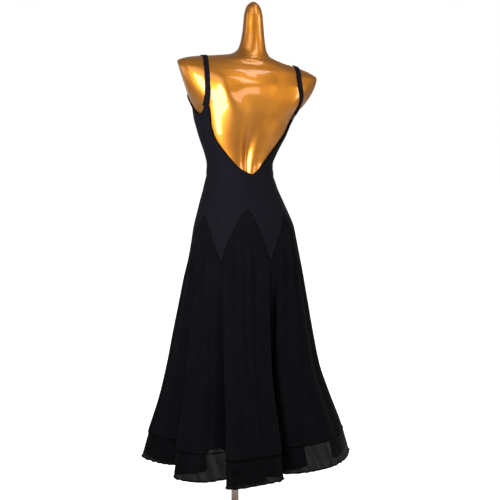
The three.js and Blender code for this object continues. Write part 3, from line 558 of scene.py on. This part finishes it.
def shell(name, grid, thick, sunk=0.0):
    """A closed thin shell of cloth on a grid of points, with its lengths of cloth as UVs."""
    rows, columns = grid.shape[:2]
    normal = normals_of(grid)
    outer = grid + normal * (thick / 2 - sunk)
    inner = grid - normal * (thick / 2 + sunk)
    size = rows * columns
    number = np.arange(size).reshape(rows, columns)
    loop = np.concatenate([number[0, :-1], number[:-1, -1], number[-1, :0:-1], number[:0:-1, 0]])
    ahead = np.roll(loop, -1)
    rim = np.stack([loop, loop + size, ahead + size, ahead], axis=1)
    faces = [grid_faces(rows, columns), grid_faces(rows, columns, size, True), rim]
    across = lengths(grid, 1)
    across = across - across[:, columns // 2][:, None]
    uv = np.stack([across, lengths(grid, 0)], axis=-1).reshape(-1, 2) * MM
    points = np.concatenate([outer.reshape(-1, 3), inner.reshape(-1, 3)])
    return mesh_object(name, points, np.concatenate(faces), np.tile(uv, (2, 1)))


def ring_faces(rings, sides):
    """Faces between rings of points, counted ring by ring."""
    k = np.arange(sides)
    nxt = (k + 1) % sides
    faces = []
    for here in range(0, (rings - 1) * sides, sides):
        there = here + sides
        faces += np.stack([here + k, here + nxt, there + nxt, there + k], axis=1).tolist()
    return faces


def end_faces(rings, sides):
    """The flat faces that close the first and the last ring."""
    return [list(range(sides))[::-1], list(range((rings - 1) * sides, rings * sides))]


def cord(name, path, radius, sides=8, flat=1.0):
    """A round or flattened cord that follows a path."""
    ahead = np.gradient(path, axis=0)
    ahead /= np.linalg.norm(ahead, axis=1, keepdims=True)
    start = np.array([0, 0, 1.0] if abs(ahead[0, 2]) < 0.9 else [0, 1.0, 0])
    side = np.empty_like(path)
    for i, way in enumerate(ahead):
        start = start - way * (start @ way)
        start = start / np.linalg.norm(start)
        side[i] = start
    other = np.cross(ahead, side)
    turns = np.arange(sides) * (2 * math.pi / sides)
    round_it = side[:, None] * np.cos(turns)[None, :, None]
    round_it = round_it + flat * other[:, None] * np.sin(turns)[None, :, None]
    points = (path[:, None] + round_it * radius).reshape(-1, 3)
    faces = ring_faces(len(path), sides) + end_faces(len(path), sides)
    return mesh_object(name, points, faces)


# ---------------------------------------------------------------- finishes
def shade(code):
    """An sRGB hex colour as linear red, green, blue and alpha."""
    parts = [int(code[i : i + 2], 16) / 255 for i in (1, 3, 5)]
    linear = [p / 12.92 if p <= 0.04045 else ((p + 0.055) / 1.055) ** 2.4 for p in parts]
    return (*linear, 1.0)


def add(tree, kind, settings=(), links=()):
    """Adds a node. Settings and links go by the names of its settings or inputs, or by number."""
    node = tree.nodes.new("ShaderNode" + kind)
    for name, value in dict(settings).items():
        if name in node.inputs:
            node.inputs[name].default_value = value
        else:
            setattr(node, name, value)
    for name, output in dict(links).items():
        tree.links.new(output, node.inputs[name])
    return node


def finish_of(name, settings):
    """A new material with those settings on its shader. Gives it, its tree and its shader."""
    made = bpy.data.materials.new(name)
    made.use_nodes = True
    shader = made.node_tree.nodes["Principled BSDF"]
    for setting, value in settings.items():
        shader.inputs[setting].default_value = value
    return made, made.node_tree, shader


def per_metre(size):
    """A noise texture's scale for features of that size in millimetres."""
    return 1000 / size


def waves_per_metre(spacing):
    """A wave texture's scale for bands that far apart in millimetres."""
    return 2 * math.pi / 20 * 1000 / spacing


def blotched(tree, shader, place, size, low, high, detail=3.0):
    """Gives a shader a colour that drifts from low to high over blotches of size millimetres."""
    drift = add(
        tree,
        "TexNoise",
        {"Scale": per_metre(size), "Detail": detail, "Roughness": 0.55},
        {"Vector": place},
    )
    ramp = add(tree, "ValToRGB", {}, {"Fac": drift.outputs["Fac"]})
    for stop, share, code in zip(ramp.color_ramp.elements, (0.36, 0.66), (low, high)):
        stop.position, stop.color = share, shade(code)
    tree.links.new(ramp.outputs["Color"], shader.inputs["Base Color"])


def bumped(tree, shader, height, strength, distance):
    """Gives a shader a bumped surface. distance: the height of the bumps in millimetres."""
    settings = {"Strength": strength, "Distance": distance * MM}
    bump = add(tree, "Bump", settings, {"Height": height})
    tree.links.new(bump.outputs["Normal"], shader.inputs["Normal"])


def stretch_jersey():
    """Knitted polyamide with elastane, dyed black: matt, with a faint nap along its edges.

    Its wales are 0.5 mm apart, too fine to show, so they are drawn 1.6 mm apart.
    """
    made, tree, shader = finish_of("stretch_jersey", {
        "Roughness": 0.78,
        "IOR": 1.5,
        "Specular IOR Level": 0.1,
        "Specular Tint": shade("#ecebff"),
        "Sheen Weight": 0.02,
        "Sheen Roughness": 0.4,
        "Sheen Tint": shade("#a6a6b8"),
    })
    cloth = add(tree, "UVMap", {"uv_map": "cloth"}).outputs["UV"]
    blotched(tree, shader, cloth, 45, "#07070b", "#0b0b12")
    knit = {"bands_direction": "X", "Scale": waves_per_metre(1.6), "Distortion": 0.6, "Detail": 1.0}
    wales = add(tree, "TexWave", knit, {"Vector": cloth})
    fluff = add(tree, "TexNoise", {"Scale": per_metre(2.2), "Detail": 2.0}, {"Vector": cloth})
    both = {0: wales.outputs["Fac"], 1: fluff.outputs["Fac"]}
    height = add(tree, "Math", {"operation": "ADD"}, both)
    bumped(tree, shader, height.outputs["Value"], 0.25, 0.15)
    return made


def black_crepe():
    """Polyester georgette, woven from hard-twisted yarn: dull, pebbled and very slightly sheer.

    Its grain is 0.4 mm across, too fine to show, so it is drawn 1.8 mm across.
    """
    made, tree, shader = finish_of("black_crepe", {
        "Roughness": 0.85,
        "IOR": 1.5,
        "Specular IOR Level": 0.06,
        "Specular Tint": shade("#eae6fa"),
        "Alpha": 0.985,
        "Sheen Weight": 0.01,
        "Sheen Roughness": 0.5,
        "Sheen Tint": shade("#9a9aae"),
    })
    cloth = add(tree, "UVMap", {"uv_map": "cloth"}).outputs["UV"]
    blotched(tree, shader, cloth, 90, "#060609", "#09090b")
    grain = add(tree, "TexNoise", {"Scale": per_metre(1.8), "Detail": 3.0}, {"Vector": cloth})
    bumped(tree, shader, grain.outputs["Fac"], 0.3, 0.15)
    return made


def sheer_net():
    """Stiff polyamide net: a smoky black veil that shows what is behind it.

    Its meshes are 1 mm wide, too fine to show, so its cross threads are drawn 2.4 mm apart.
    """
    made, tree, shader = finish_of("sheer_net", {
        "Roughness": 0.6,
        "IOR": 1.53,
        "Specular IOR Level": 0.03,
    })
    cloth = add(tree, "UVMap", {"uv_map": "cloth"}).outputs["UV"]
    blotched(tree, shader, cloth, 30, "#060507", "#0b090d")
    # Where the net is pulled askew its meshes close up in long slanting streaks.
    slant = {"vector_type": "TEXTURE", "Rotation": (0, 0, math.radians(32)), "Scale": (1, 8, 1)}
    slanted = add(tree, "Mapping", slant, {"Vector": cloth}).outputs["Vector"]
    pulled = add(tree, "TexNoise", {"Scale": per_metre(14), "Detail": 2.0}, {"Vector": slanted})
    cover = {"From Min": 0.32, "From Max": 0.68, "To Min": 0.87, "To Max": 0.935}
    closed = add(tree, "MapRange", cover, {"Value": pulled.outputs["Fac"]})
    tree.links.new(closed.outputs["Result"], shader.inputs["Alpha"])
    turned = add(tree, "Mapping", {"Rotation": (0, 0, math.radians(45))}, {"Vector": cloth})
    weave = {"bands_direction": "X", "Scale": waves_per_metre(2.4), "Distortion": 0.3}
    threads = add(tree, "TexWave", weave, {"Vector": turned.outputs["Vector"]})
    bumped(tree, shader, threads.outputs["Fac"], 0.3, 0.12)
    return made


def shade_darkened_edging():
    """The same black cloth rolled round a cord and overlocked: denser, and darker as painted shade.
    """
    made, tree, shader = finish_of("shade_darkened_edging", {
        "Roughness": 0.9,
        "IOR": 1.5,
        "Specular IOR Level": 0.03,
    })
    place = add(tree, "TexCoord").outputs["Object"]
    # These shades, darker than the jersey's, are painted shade along the seams, bindings and hem.
    blotched(tree, shader, place, 12, "#020203", "#050507")
    twist = add(tree, "TexNoise", {"Scale": per_metre(1.5), "Detail": 2.0}, {"Vector": place})
    bumped(tree, shader, twist.outputs["Fac"], 0.4, 0.15)
    return made


def gold_lacquer():
    """Glass fibre sprayed with fine gold flake, then lacquered: a soft metal under hard gloss.

    The lacquer gives the sharp windows and the flake gives the broad glow round them.
    """
    made, tree, shader = finish_of("gold_lacquer", {
        "Metallic": 1.0,
        "Roughness": 0.4,
        "Coat Weight": 0.7,
        "Coat Roughness": 0.02,
        "Coat IOR": 1.5,
    })
    place = add(tree, "TexCoord").outputs["Object"]
    blotched(tree, shader, place, 160, "#b8731f", "#c5802c", 2.0)
    peel = add(tree, "TexNoise", {"Scale": per_metre(14), "Detail": 1.0}, {"Vector": place})
    bumped(tree, shader, peel.outputs["Fac"], 0.08, 0.4)
    return made


def pale_reflection_gold():
    """The flat arm faces, sprayed with no clear coat: satin, and paler as a painted reflection."""
    made, tree, shader = finish_of("pale_reflection_gold", {"Metallic": 1.0, "Roughness": 0.42})
    place = add(tree, "TexCoord").outputs["Object"]
    # These pale pink shades are a painted reflection of the white room on the flat faces.
    blotched(tree, shader, place, 60, "#d9a37a", "#e6b894", 2.0)
    speckle = add(tree, "TexNoise", {"Scale": per_metre(1.6), "Detail": 2.0}, {"Vector": place})
    bumped(tree, shader, speckle.outputs["Fac"], 0.15, 0.1)
    return made


def satin_steel():
    """Ground and waxed steel: a grey metal with fine scratches round it, in softly blotched tones.
    """
    made, tree, shader = finish_of("satin_steel", {"Metallic": 1.0, "Roughness": 0.32})
    place = add(tree, "TexCoord").outputs["Object"]
    blotched(tree, shader, place, 40, "#a89c94", "#b8aca3")
    drawn_out = add(tree, "Mapping", {"Scale": (0.05, 0.05, 1)}, {"Vector": place})
    grit = {"Scale": per_metre(1.2), "Detail": 3.0}
    scratches = add(tree, "TexNoise", grit, {"Vector": drawn_out.outputs["Vector"]})
    bumped(tree, shader, scratches.outputs["Fac"], 0.12, 0.05)
    return made


# Each finish, and the material of the record that it stands for.
FINISHES = {
    "jersey": (stretch_jersey(), "jersey"),
    "crepe": (black_crepe(), "crepe"),
    "net": (sheer_net(), "sheer_net"),
    # The edging's darker colour is painted shade of the seams, bindings and hem.
    "edging": (shade_darkened_edging(), "jersey"),
    "gold": (gold_lacquer(), "gold_lacquer"),
    "steel": (satin_steel(), "steel"),
}


def fit(piece, finish, *nodes):
    """Gives a piece its finish, puts it on the stand's body and hides those nodes of the model."""
    made, slot = FINISHES[finish]
    piece.data.materials.append(made)
    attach(piece, "root")
    if nodes:
        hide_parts(*nodes)
    return piece


# ---------------------------------------------------------------- skirt gores and hem bands
def from_edges(grid):
    """The distance of each point from the nearer side edge of its panel, in mm."""
    across = lengths(grid, 1)
    return np.minimum(across, across[:, -1:] - across)


def seam_dip(distance, deep=0.8, wide=2.2):
    """How far out a seam at that distance puts the cloth: in at the seam, and up beside it."""
    puckered = 0.3 * np.exp(-(((distance - 2.6 * wide) / wide) ** 2))
    return deep * (puckered - np.exp(-((distance / wide) ** 2)))


def skirt_angles(i, shares, z):
    """The angles of a gore's columns at heights z, and at their edges half a seam's gap in."""
    low = hem_angles(GORES["from"][i], GORES["to"][i], shares)
    angle = mix(across_top(i, shares), low, np.sqrt(down_folds(z)))
    step = 0.02
    around = cloth_point(angle + step, z) - cloth_point(angle - step, z)
    per_degree = np.linalg.norm(around, axis=-1) / (2 * step)
    gap = SEAM / 2 / per_degree
    angle[:, 0] += gap[:, 0]
    angle[:, -1] -= gap[:, -1]
    return angle


def lifted_edge(angle, z):
    """How far the skirt's hem rides up over the net between two folds of the left back."""
    side = turn_between(0, angle)
    along = smooth_step(side, *LIFTED_FROM) * (1 - smooth_step(side, *LIFTED_TO))
    return LIFTED_HIGH * along * (1 - smooth_step(z, SKIRT_HEM, SKIRT_HEM + LIFTED_FADE))


def across_top(i, shares):
    """The angles at the top of a gore, whose middle is its peak."""
    return np.interp(shares, [0, 0.5, 1], [GORES[name][i] for name in ("from", "peak", "to")])


def gore_piece(i):
    """A gore's cloth, and the grid of points that it is made on."""
    name = GORES["name"][i]
    shares = edge_shares(150 if name in ("back_left", "back_right") else 110)
    low = np.linspace(SKIRT_HEM, ARCH_FOOT, 46)[:, None]
    high = np.array([*np.linspace(0.06, 0.93, 15), 0.96, 0.98, 0.99, 1])[:, None]
    top_angle = across_top(i, shares)
    top = seam_height(top_angle) - seam_rise(top_angle)
    z = np.concatenate([low + 0 * top, mix(ARCH_FOOT, top, high)])
    angle = skirt_angles(i, shares, z)
    z = z + lifted_edge(angle, z)
    grid = cloth_point(angle, z)
    to_top = lengths(grid, 0)[-1:] - lengths(grid, 0)
    push = creases(angle, z) + seam_dip(from_edges(grid)) + seam_dip(to_top, 0.7)
    grid = grid + normals_of(grid) * push[..., None]
    return shell(f"skirt_{name}", grid, CREPE), grid


def ripple(run, z, seed):
    """The curl of the band's corded edge: out, and up, in mm along a run of hem in mm."""
    fade = np.exp(-(z - HEM) / 11)
    phase = 2.1 * np.sin(run / 61 + seed) + 1.5 * np.sin(run / 27.7 + 2 * seed)
    size = 1.0 + 0.6 * np.sin(run / 47 + 3 * seed) + 0.35 * np.sin(run / 19 + seed)
    wave = 2 * math.pi * run / 27 + phase
    return size * fade * np.sin(wave), 0.8 * size * fade * np.cos(wave)


def band_piece(i):
    """A gore's length of the sheer band, and the grid of points that it is made on."""
    name = GORES["name"][i]
    start, end = GORES["from"][i], GORES["to"][i]
    wide = np.linalg.norm(np.diff(hem_point(np.linspace(start, end, 900)), axis=0), axis=1).sum()
    shares = np.linspace(0, 1, int(wide / BAND_STEP))
    curled, flat = np.linspace(HEM, HEM + 30, 13), np.linspace(HEM + 34, SKIRT_HEM + BAND_LAP, 12)
    z = np.concatenate([curled, flat])[:, None] + 0 * shares
    angle = skirt_angles(i, shares, z)
    grid = cloth_point(angle, z)
    out, rise = ripple(lengths(grid, 1), z, start)
    fixed = np.clip(from_edges(grid) / 6, 0, 1)
    normal = normals_of(grid)
    grid = grid + normal * ((out * fixed) - BAND_INSIDE)[..., None]
    grid[..., 2] += rise * fixed
    return shell(f"band_{name}", grid, NET), grid


for number, gore_name in enumerate(GORES["name"]):
    skirt_piece, skirt = gore_piece(number)
    fit(skirt_piece, "crepe", f"gore_{gore_name}")
    net_piece, band = band_piece(number)
    fit(net_piece, "net", f"hem_band_{gore_name}")

    foot = cord(f"hem_cord_{gore_name}", band[0], HEM_CORD)
    fit(foot, "edging")
    join = np.argmin(np.abs(band[:, 0, 2] - (SKIRT_HEM - 3)))
    top_line = band[join] + normals_of(band)[join] * BAND_CORD_OUT
    top = cord(f"band_seam_{gore_name}", top_line, BAND_CORD, flat=0.8)
    fit(top, "edging")

    # The seam to the next gore, pressed to one side, and the corded seam to the bodice.
    out_of_skirt = normals_of(skirt)
    joins = []
    for place, line in (("side", (slice(None), -1)), ("yoke", -1)):
        path = skirt[line] + out_of_skirt[line] * SEAM_CORD_OUT
        joins.append(cord(f"{place}_seam_{gore_name}", path, SEAM_CORD, 7, 0.7))
        fit(joins[-1], "edging")

# ---------------------------------------------------------------- bodice
neck_half = smooth_curve(NECKLINE["z"], NECKLINE["half"])
neck_middle = smooth_curve(NECKLINE["z"], NECKLINE["middle"])
top_edge = smooth_curve(TOP_EDGE["angle"], TOP_EDGE["z"])
NECK_POINT = NECKLINE["z"][0]
CORNERS = sorted({float(a) for name in ("from", "peak", "to") for a in GORES[name]})


def panel_angles(start, end, count):
    """Angles of a bodice panel's columns, with one at each corner of the zigzag seam."""
    even = mix(start, end, edge_shares(count, (0.004, 0.01, 0.018)))
    turned = [a + turn for a in CORNERS for turn in (-360, 0, 360)]
    kept = [a for a in turned if start + 0.5 < a < end - 0.5]
    far = [a for a in even if all(abs(a - corner) > 0.25 for corner in kept)]
    return np.array(sorted(far + kept))


LOW_ROWS = np.array([0, 0.006, 0.015, 0.03, *np.linspace(0.06, 0.97, 30)])
HIGH_ROWS = np.array([*np.linspace(0, 0.95, 34), 0.97, 0.985, 0.995, 1])


def bodice_heights(bottom, top):
    """The heights of a bodice panel's rows, below and above the point of the back neckline."""
    low = mix(bottom, NECK_POINT, LOW_ROWS[:, None])
    high = mix(NECK_POINT, top, HIGH_ROWS[:, None])
    return np.concatenate([low, high])


def shaped(angle, z, seams):
    """The bodice's cloth at those places. seams: the distance from the nearest seam."""
    grid = cloth_point(angle, z)
    push = drag_lines(angle, z) + seams(grid)
    return grid + normals_of(grid) * push[..., None]


def back_grid(side):
    """One half of the back, from the centre back seam to the side seam. side: -1 left."""
    corner = np.abs(panel_angles(0, SIDE, 70) if side > 0 else panel_angles(-SIDE, 0, 70)[::-1])
    share = corner / SIDE
    bottom = seam_height(side * corner) + seam_rise(side * corner)
    z = bodice_heights(bottom, top_edge(mix(TOP_EDGE["angle"][0], SIDE, share)))
    swing = neck_middle(z) * smooth_step(z, GORES["height"][0], NECK_POINT)
    inner = side * swing + np.where(z > NECK_POINT, neck_half(z), 0)
    gap = SEAM / 2 / CHEST_DEGREE
    start = np.where(z <= NECK_POINT, inner + gap, inner)
    angle = side * mix(start, SIDE - gap / 2, share[None])
    if side < 0:
        angle, z = angle[:, ::-1], z[:, ::-1]

    def seams(grid):
        across, up = lengths(grid, 1), lengths(grid, 0)
        from_centre = across if side > 0 else across[:, -1:] - across
        from_side = across[:, -1:] - from_centre
        centre = np.where(z <= NECK_POINT, seam_dip(from_centre, 0.3), 0)
        return centre + seam_dip(from_side, 0.6) + seam_dip(up, 0.7)

    return shaped(angle, z, seams)


def front_grid():
    """The front, from side seam to side seam."""
    column = panel_angles(SIDE, 360 - SIDE, 130)
    bottom = seam_height(column) + seam_rise(column)
    z = bodice_heights(bottom, top_edge(np.minimum(column, 360 - column)))
    gap = SEAM / 2 / CHEST_DEGREE
    angle = np.broadcast_to(column, z.shape).copy()
    angle[:, 0] += gap
    angle[:, -1] -= gap

    def seams(grid):
        return seam_dip(from_edges(grid), 0.6) + seam_dip(lengths(grid, 0), 0.7)

    return shaped(angle, z, seams)


# neck: the column of the panel that is bound as the back neckline, or None.
for name, grid, node, neck in (
    ("bodice_left_back", back_grid(-1), "bodice_back_left", -1),
    ("bodice_right_back", back_grid(1), "bodice_back_right", 0),
    ("bodice_whole_front", front_grid(), "bodice_front", None),
):
    piece = fit(shell(name, grid, JERSEY), "jersey", node)
    edges = {"top": grid[-1]}
    if neck is not None:
        edges["neck"] = grid[len(LOW_ROWS) :, neck]
    bindings = [
        fit(cord(f"{name}_{edge}_binding", path, BINDING), "edging")
        for edge, path in edges.items()
    ]


# ---------------------------------------------------------------- straps
def over_shoulder(side, back, top, front_end, edge):
    """A line over the shoulder at even steps. edge: mm from the strap's own middle line."""

    def half_track(start, off):
        z = np.linspace(start, RIDGE, 400)
        section = form_section(z)
        way = mix(off, top, smooth_step(z, start, RIDGE - 40)) + edge
        sine = (way / section["half"]) ** (section["square"] / 2)
        kept = sine < 1
        return np.degrees(np.arcsin(sine[kept])), z[kept]

    angle, z = half_track(TOP_EDGE["z"][0] + STRAP_END, back)
    behind = form_point(side * angle, z)
    angle, z = half_track(float(top_edge(STRAP_FRONT)) + STRAP_END, front_end)
    ahead = form_point(side * (180 - angle), z)[::-1]
    track = np.concatenate([behind, ahead])
    run = np.concatenate([[0], np.cumsum(np.linalg.norm(np.diff(track, axis=0), axis=1))])
    even = np.linspace(0, run[-1], STRAP_STEPS)
    return np.stack([np.interp(even, run, track[:, k]) for k in range(3)], axis=1)


for strap_name, side, *ends in zip(*STRAPS.values()):
    across = np.linspace(-1, 1, 11)
    strap = np.stack([over_shoulder(side, *ends, x * STRAP_WIDE / 2) for x in across], axis=1)
    if side < 0:
        strap = strap[:, ::-1]
    along = np.gradient(strap[:, 5], axis=0)
    wise = strap[:, -1] - strap[:, 0]
    up = np.cross(wise, along)
    up /= np.linalg.norm(up, axis=1, keepdims=True)
    step = np.minimum(np.arange(STRAP_STEPS), np.arange(STRAP_STEPS)[::-1])
    lift = mix(EASE, STRAP_EASE, smooth_step(step / STRAP_STEPS, 0, 6 / 30)) + STRAP_THICK / 2
    rounded = 0.35 * (1 - across**4)
    strap = strap + up[:, None] * (lift[:, None] + rounded[None])[..., None]
    piece = shell(f"shoulder_strap_{strap_name}", strap, STRAP_CLOTH)
    fit(piece, "jersey", f"strap_{strap_name}")


# ---------------------------------------------------------------- dress form
def arm_plane(side, top_off, top_z, low_off, low_z, forwards):
    """A point in the plane where an arm is cut off, and the plane's outward normal."""

    def at(off, z):
        z = np.float64(z)
        return in_section(form_section(z), -side * off, 0.0, z)

    up = at(top_off, top_z) - at(low_off, low_z)
    turn = math.radians(float(form_section(np.float64(ARM_MIDDLE))["turn"]) + side * forwards)
    outward = np.cross([-math.sin(turn), math.cos(turn), 0], up)
    outward /= np.linalg.norm(outward)
    if outward[0] * side > 0:
        outward = -outward
    return at((top_off + low_off) / 2, (top_z + low_z) / 2), outward


def form_mesh():
    """The torso as one closed smooth body, cut flat where arms would be."""
    columns = 168
    below = np.linspace(FORM_END + 3, SHOULDERS, 180)
    z = np.concatenate([below, np.linspace(SHOULDERS + 3, FORM_TOP, 76)])
    angle = np.arange(columns) * (360 / columns)
    body = form_point(*np.broadcast_arrays(angle, z[:, None]))

    def drawn_in(ring, height, steps):
        """Rings inside a ring at a height. steps: the share that is left, and the rise."""
        section = form_section(np.float64(height))
        middle = np.array([section["shift"], section["set"], height])
        out = ring - middle
        return [middle + out * [share, share, 0] + [0, 0, rise] for share, rise in steps]

    foot = drawn_in(body[0], FORM_END, ((0, 0), (0.5, 0), (0.97, 0), (0.99, 0.8)))
    cap = drawn_in(body[-1], FORM_TOP, ((0.75, 0.9), (0.4, 1.7), (0, 2)))
    rings = np.concatenate([foot[1:], body, cap[:-1]])
    points = np.concatenate([rings.reshape(-1, 3), [foot[0][0], cap[-1][0]]])
    faces = ring_faces(len(rings), columns)
    low = rings.size // 3
    top = low - columns
    for k in range(columns):
        faces.append([low, (k + 1) % columns, k])
    for k in range(columns):
        faces.append([low + 1, top + k, top + (k + 1) % columns])
    piece = mesh_object("lacquered_torso", points, faces, sharp=50)

    work = bmesh.new()
    work.from_mesh(piece.data)
    for side, top_off, top_z, low_off, low_z, forwards in zip(*ARM_CUTS.values()):
        place, outward = arm_plane(side, top_off, top_z, low_off, low_z, forwards)
        armpit = (low_z - ARM_CUT_FOOT) * MM
        faces = [face for face in work.faces if face.calc_center_median().z > armpit]
        corners = dict.fromkeys(corner for face in faces for corner in face.verts)
        rims = dict.fromkeys(edge for face in faces for edge in face.edges)
        parts = [*corners, *rims, *faces]
        cut = bmesh.ops.bisect_plane(
            work, geom=parts, plane_co=place * MM, plane_no=outward, clear_outer=True
        )
        on_cut = [part for part in cut["geom_cut"] if isinstance(part, bmesh.types.BMVert)]
        bmesh.ops.remove_doubles(work, verts=on_cut, dist=0.6 * MM)
        rim_edges = [edge for edge in work.edges if edge.is_boundary]
        flat = bmesh.ops.edgeloop_fill(work, edges=rim_edges)["faces"]
        bmesh.ops.recalc_face_normals(work, faces=flat)
        if flat[0].normal.dot(Vector(outward)) < 0:
            bmesh.ops.reverse_faces(work, faces=flat)
        bmesh.ops.bevel(
            work,
            geom=list(flat[0].edges),
            offset=ARM_CUT_EDGE * MM,
            segments=3,
            profile=0.5,
            affect="EDGES",
            clamp_overlap=True,
        )
        for face in work.faces:
            if len(face.verts) > 40:  # only the flat face has that many corners
                face.material_index = 1
                face.smooth = False
    # The bevels leave the faces in an order that changes from run to run, so they are sorted.
    work.verts.index_update()
    count = len(work.verts)

    def by_corners(face):
        first, second, third = sorted(corner.index for corner in face.verts)[:3]
        return (first * count + second) * count + third

    work.faces.sort(key=by_corners)
    work.to_mesh(piece.data)
    work.free()
    return piece


torso = fit(form_mesh(), "gold", "form_torso")
# The flat arm faces take the pale gold whose colour is a painted reflection.
torso.data.materials.append(pale_reflection_gold())


# ---------------------------------------------------------------- pole and base
DRUM_STEPS = 5  # rings in each rounded edge


def turned_piece(name, profile, middle=(0, 0), sides=96):
    """A round piece. profile: (radius, height) pairs from the bottom up, closed at both ends."""
    points = []
    for radius, height in profile:
        for k in range(sides):
            a = 2 * math.pi * k / sides
            x, y = middle[0] + radius * math.cos(a), middle[1] + radius * math.sin(a)
            points.append((x, y, height))
    faces = ring_faces(len(profile), sides) + end_faces(len(profile), sides)
    return mesh_object(name, points, faces, sharp=40)


def softened(radius, low, high, edge, low_edge):
    """The profile of a drum whose edges are rounded by edge above and low_edge below."""
    turns = np.linspace(0, math.pi / 2, DRUM_STEPS)
    foot = [
        (radius - low_edge + low_edge * math.sin(t), low + low_edge - low_edge * math.cos(t))
        for t in turns
    ]
    head = [
        (radius - edge + edge * math.cos(t), high - edge + edge * math.sin(t)) for t in turns
    ]
    return foot + head


for node, edge in (("base_plate", 2.5), ("base_collar", 2), ("pole", 0.6), ("pole_socket", 1.5)):
    low, high = (np.array(corner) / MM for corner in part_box(node))
    radius = (high[0] - low[0]) / 2
    middle = ((low[0] + high[0]) / 2, (low[1] + high[1]) / 2)
    profile = softened(radius, low[2], high[2], edge, 0.6)
    if node in ("base_collar", "pole_socket"):
        # A turned groove near the end of the piece that the clamping screw sits in.
        half = mix(low[2], high[2], 0.5)
        steps = ((0, -2.4), (0.9, -1.4), (0.9, 1.4), (0, 2.4))
        groove = [(radius - in_by, half + up) for in_by, up in steps]
        profile = profile[:DRUM_STEPS] + groove + profile[DRUM_STEPS:]
    fit(turned_piece(f"steel_{node}", profile, middle), "steel", node)


# ---------------------------------------------------------------- studio
def camera_at(azimuth, elevation, distance, target, lens):
    """A camera that looks at target. Azimuth 180 looks at the back of the dress."""
    data = bpy.data.cameras.new("studio_camera")
    data.lens = lens
    data.clip_end = 50
    camera = placed("studio_camera", data)
    a, e = math.radians(azimuth), math.radians(elevation)
    towards = Vector((math.sin(a) * math.cos(e), -math.cos(a) * math.cos(e), math.sin(e)))
    camera.location = (Vector(target) + towards * distance) * MM
    camera.rotation_euler = towards.to_track_quat("Z", "Y").to_euler()
    bpy.context.scene.camera = camera


def softbox(name, place, aim, size, power):
    """A lamp with a white cloth front. place and size: metres. aim: height that it looks at."""
    data = bpy.data.lights.new(name, "AREA")
    data.shape = "RECTANGLE"
    data.size, data.size_y = size
    data.energy = power
    lamp = placed(name, data)
    lamp.visible_camera = False
    lamp.location = place
    lamp.rotation_euler = (Vector(place) - Vector((0, 0, aim))).to_track_quat("Z", "Y").to_euler()


def studio_air(behind, around):
    """A white room: behind is how bright the camera sees it, around how much it lights."""
    world = bpy.data.worlds.new("studio_air")
    world.use_nodes = True
    tree = world.node_tree
    tree.nodes.clear()
    seen = add(tree, "LightPath").outputs["Is Camera Ray"]
    white = add(tree, "Background", {"Color": shade("#ffffff"), "Strength": behind})
    soft = add(tree, "Background", {"Color": shade("#f2ede4"), "Strength": around})
    airs = {"Fac": seen, 1: soft.outputs["Background"], 2: white.outputs["Background"]}
    both = add(tree, "MixShader", {}, airs)
    add(tree, "OutputWorld", {}, {"Surface": both.outputs["Shader"]})
    bpy.context.scene.world = world


def floor_of(half):
    """A white seamless floor that glows a little, as studio paper does under many lamps."""
    points = [(-half, -half, 0), (half, -half, 0), (half, half, 0), (-half, half, 0)]
    floor = mesh_object("floor_paper", points, [[0, 1, 2, 3]])
    made, tree, shader = finish_of("seamless_paper", {
        "Roughness": 0.9,
        "Specular IOR Level": 0.1,
        "Emission Color": shade("#ffffff"),
    })
    # Lamps under the paper's far edge wash it out to the eye, but little of that light comes back.
    seen = add(tree, "LightPath").outputs["Is Camera Ray"]
    glow = add(tree, "MapRange", {"To Min": 0.1, "To Max": 0.9}, {"Value": seen})
    tree.links.new(glow.outputs["Result"], shader.inputs["Emission Strength"])
    place = add(tree, "TexCoord").outputs["Object"]
    blotched(tree, shader, place, 900, "#f4f4f2", "#ffffff", 1.0)
    floor.data.materials.append(made)


camera_at(175, 6, 2888, (-47, 0, 848), 68.6)
studio_air(1.0, 0.34)
floor_of(30000)
softbox("left_window", (0.53, 0.88, 1.24), 1.2, (0.26, 0.98), 14)
softbox("low_window", (-0.52, 0.84, 1.36), 1.3, (0.26, 0.34), 1.15)
softbox("high_window", (-0.6, 0.79, 2.28), 1.35, (0.29, 0.75), 4)
softbox("roof_window", (-1.23, 0.53, 4.03), 1.2, (0.34, 0.74), 5)
softbox("back_cloth", (0.9, 2.0, 3.1), 1.3, (1.8, 1.2), 13)
softbox("left_cloth", (2.6, 0.5, 1.9), 1.3, (1.0, 1.6), 9)
softbox("right_cloth", (-2.5, 1.1, 1.6), 1.2, (0.7, 1.5), 24)
softbox("front_window", (-1.2, -2.8, 2.1), 1.1, (1.4, 1.8), 20)
bpy.context.scene.view_settings.view_transform = "Standard"
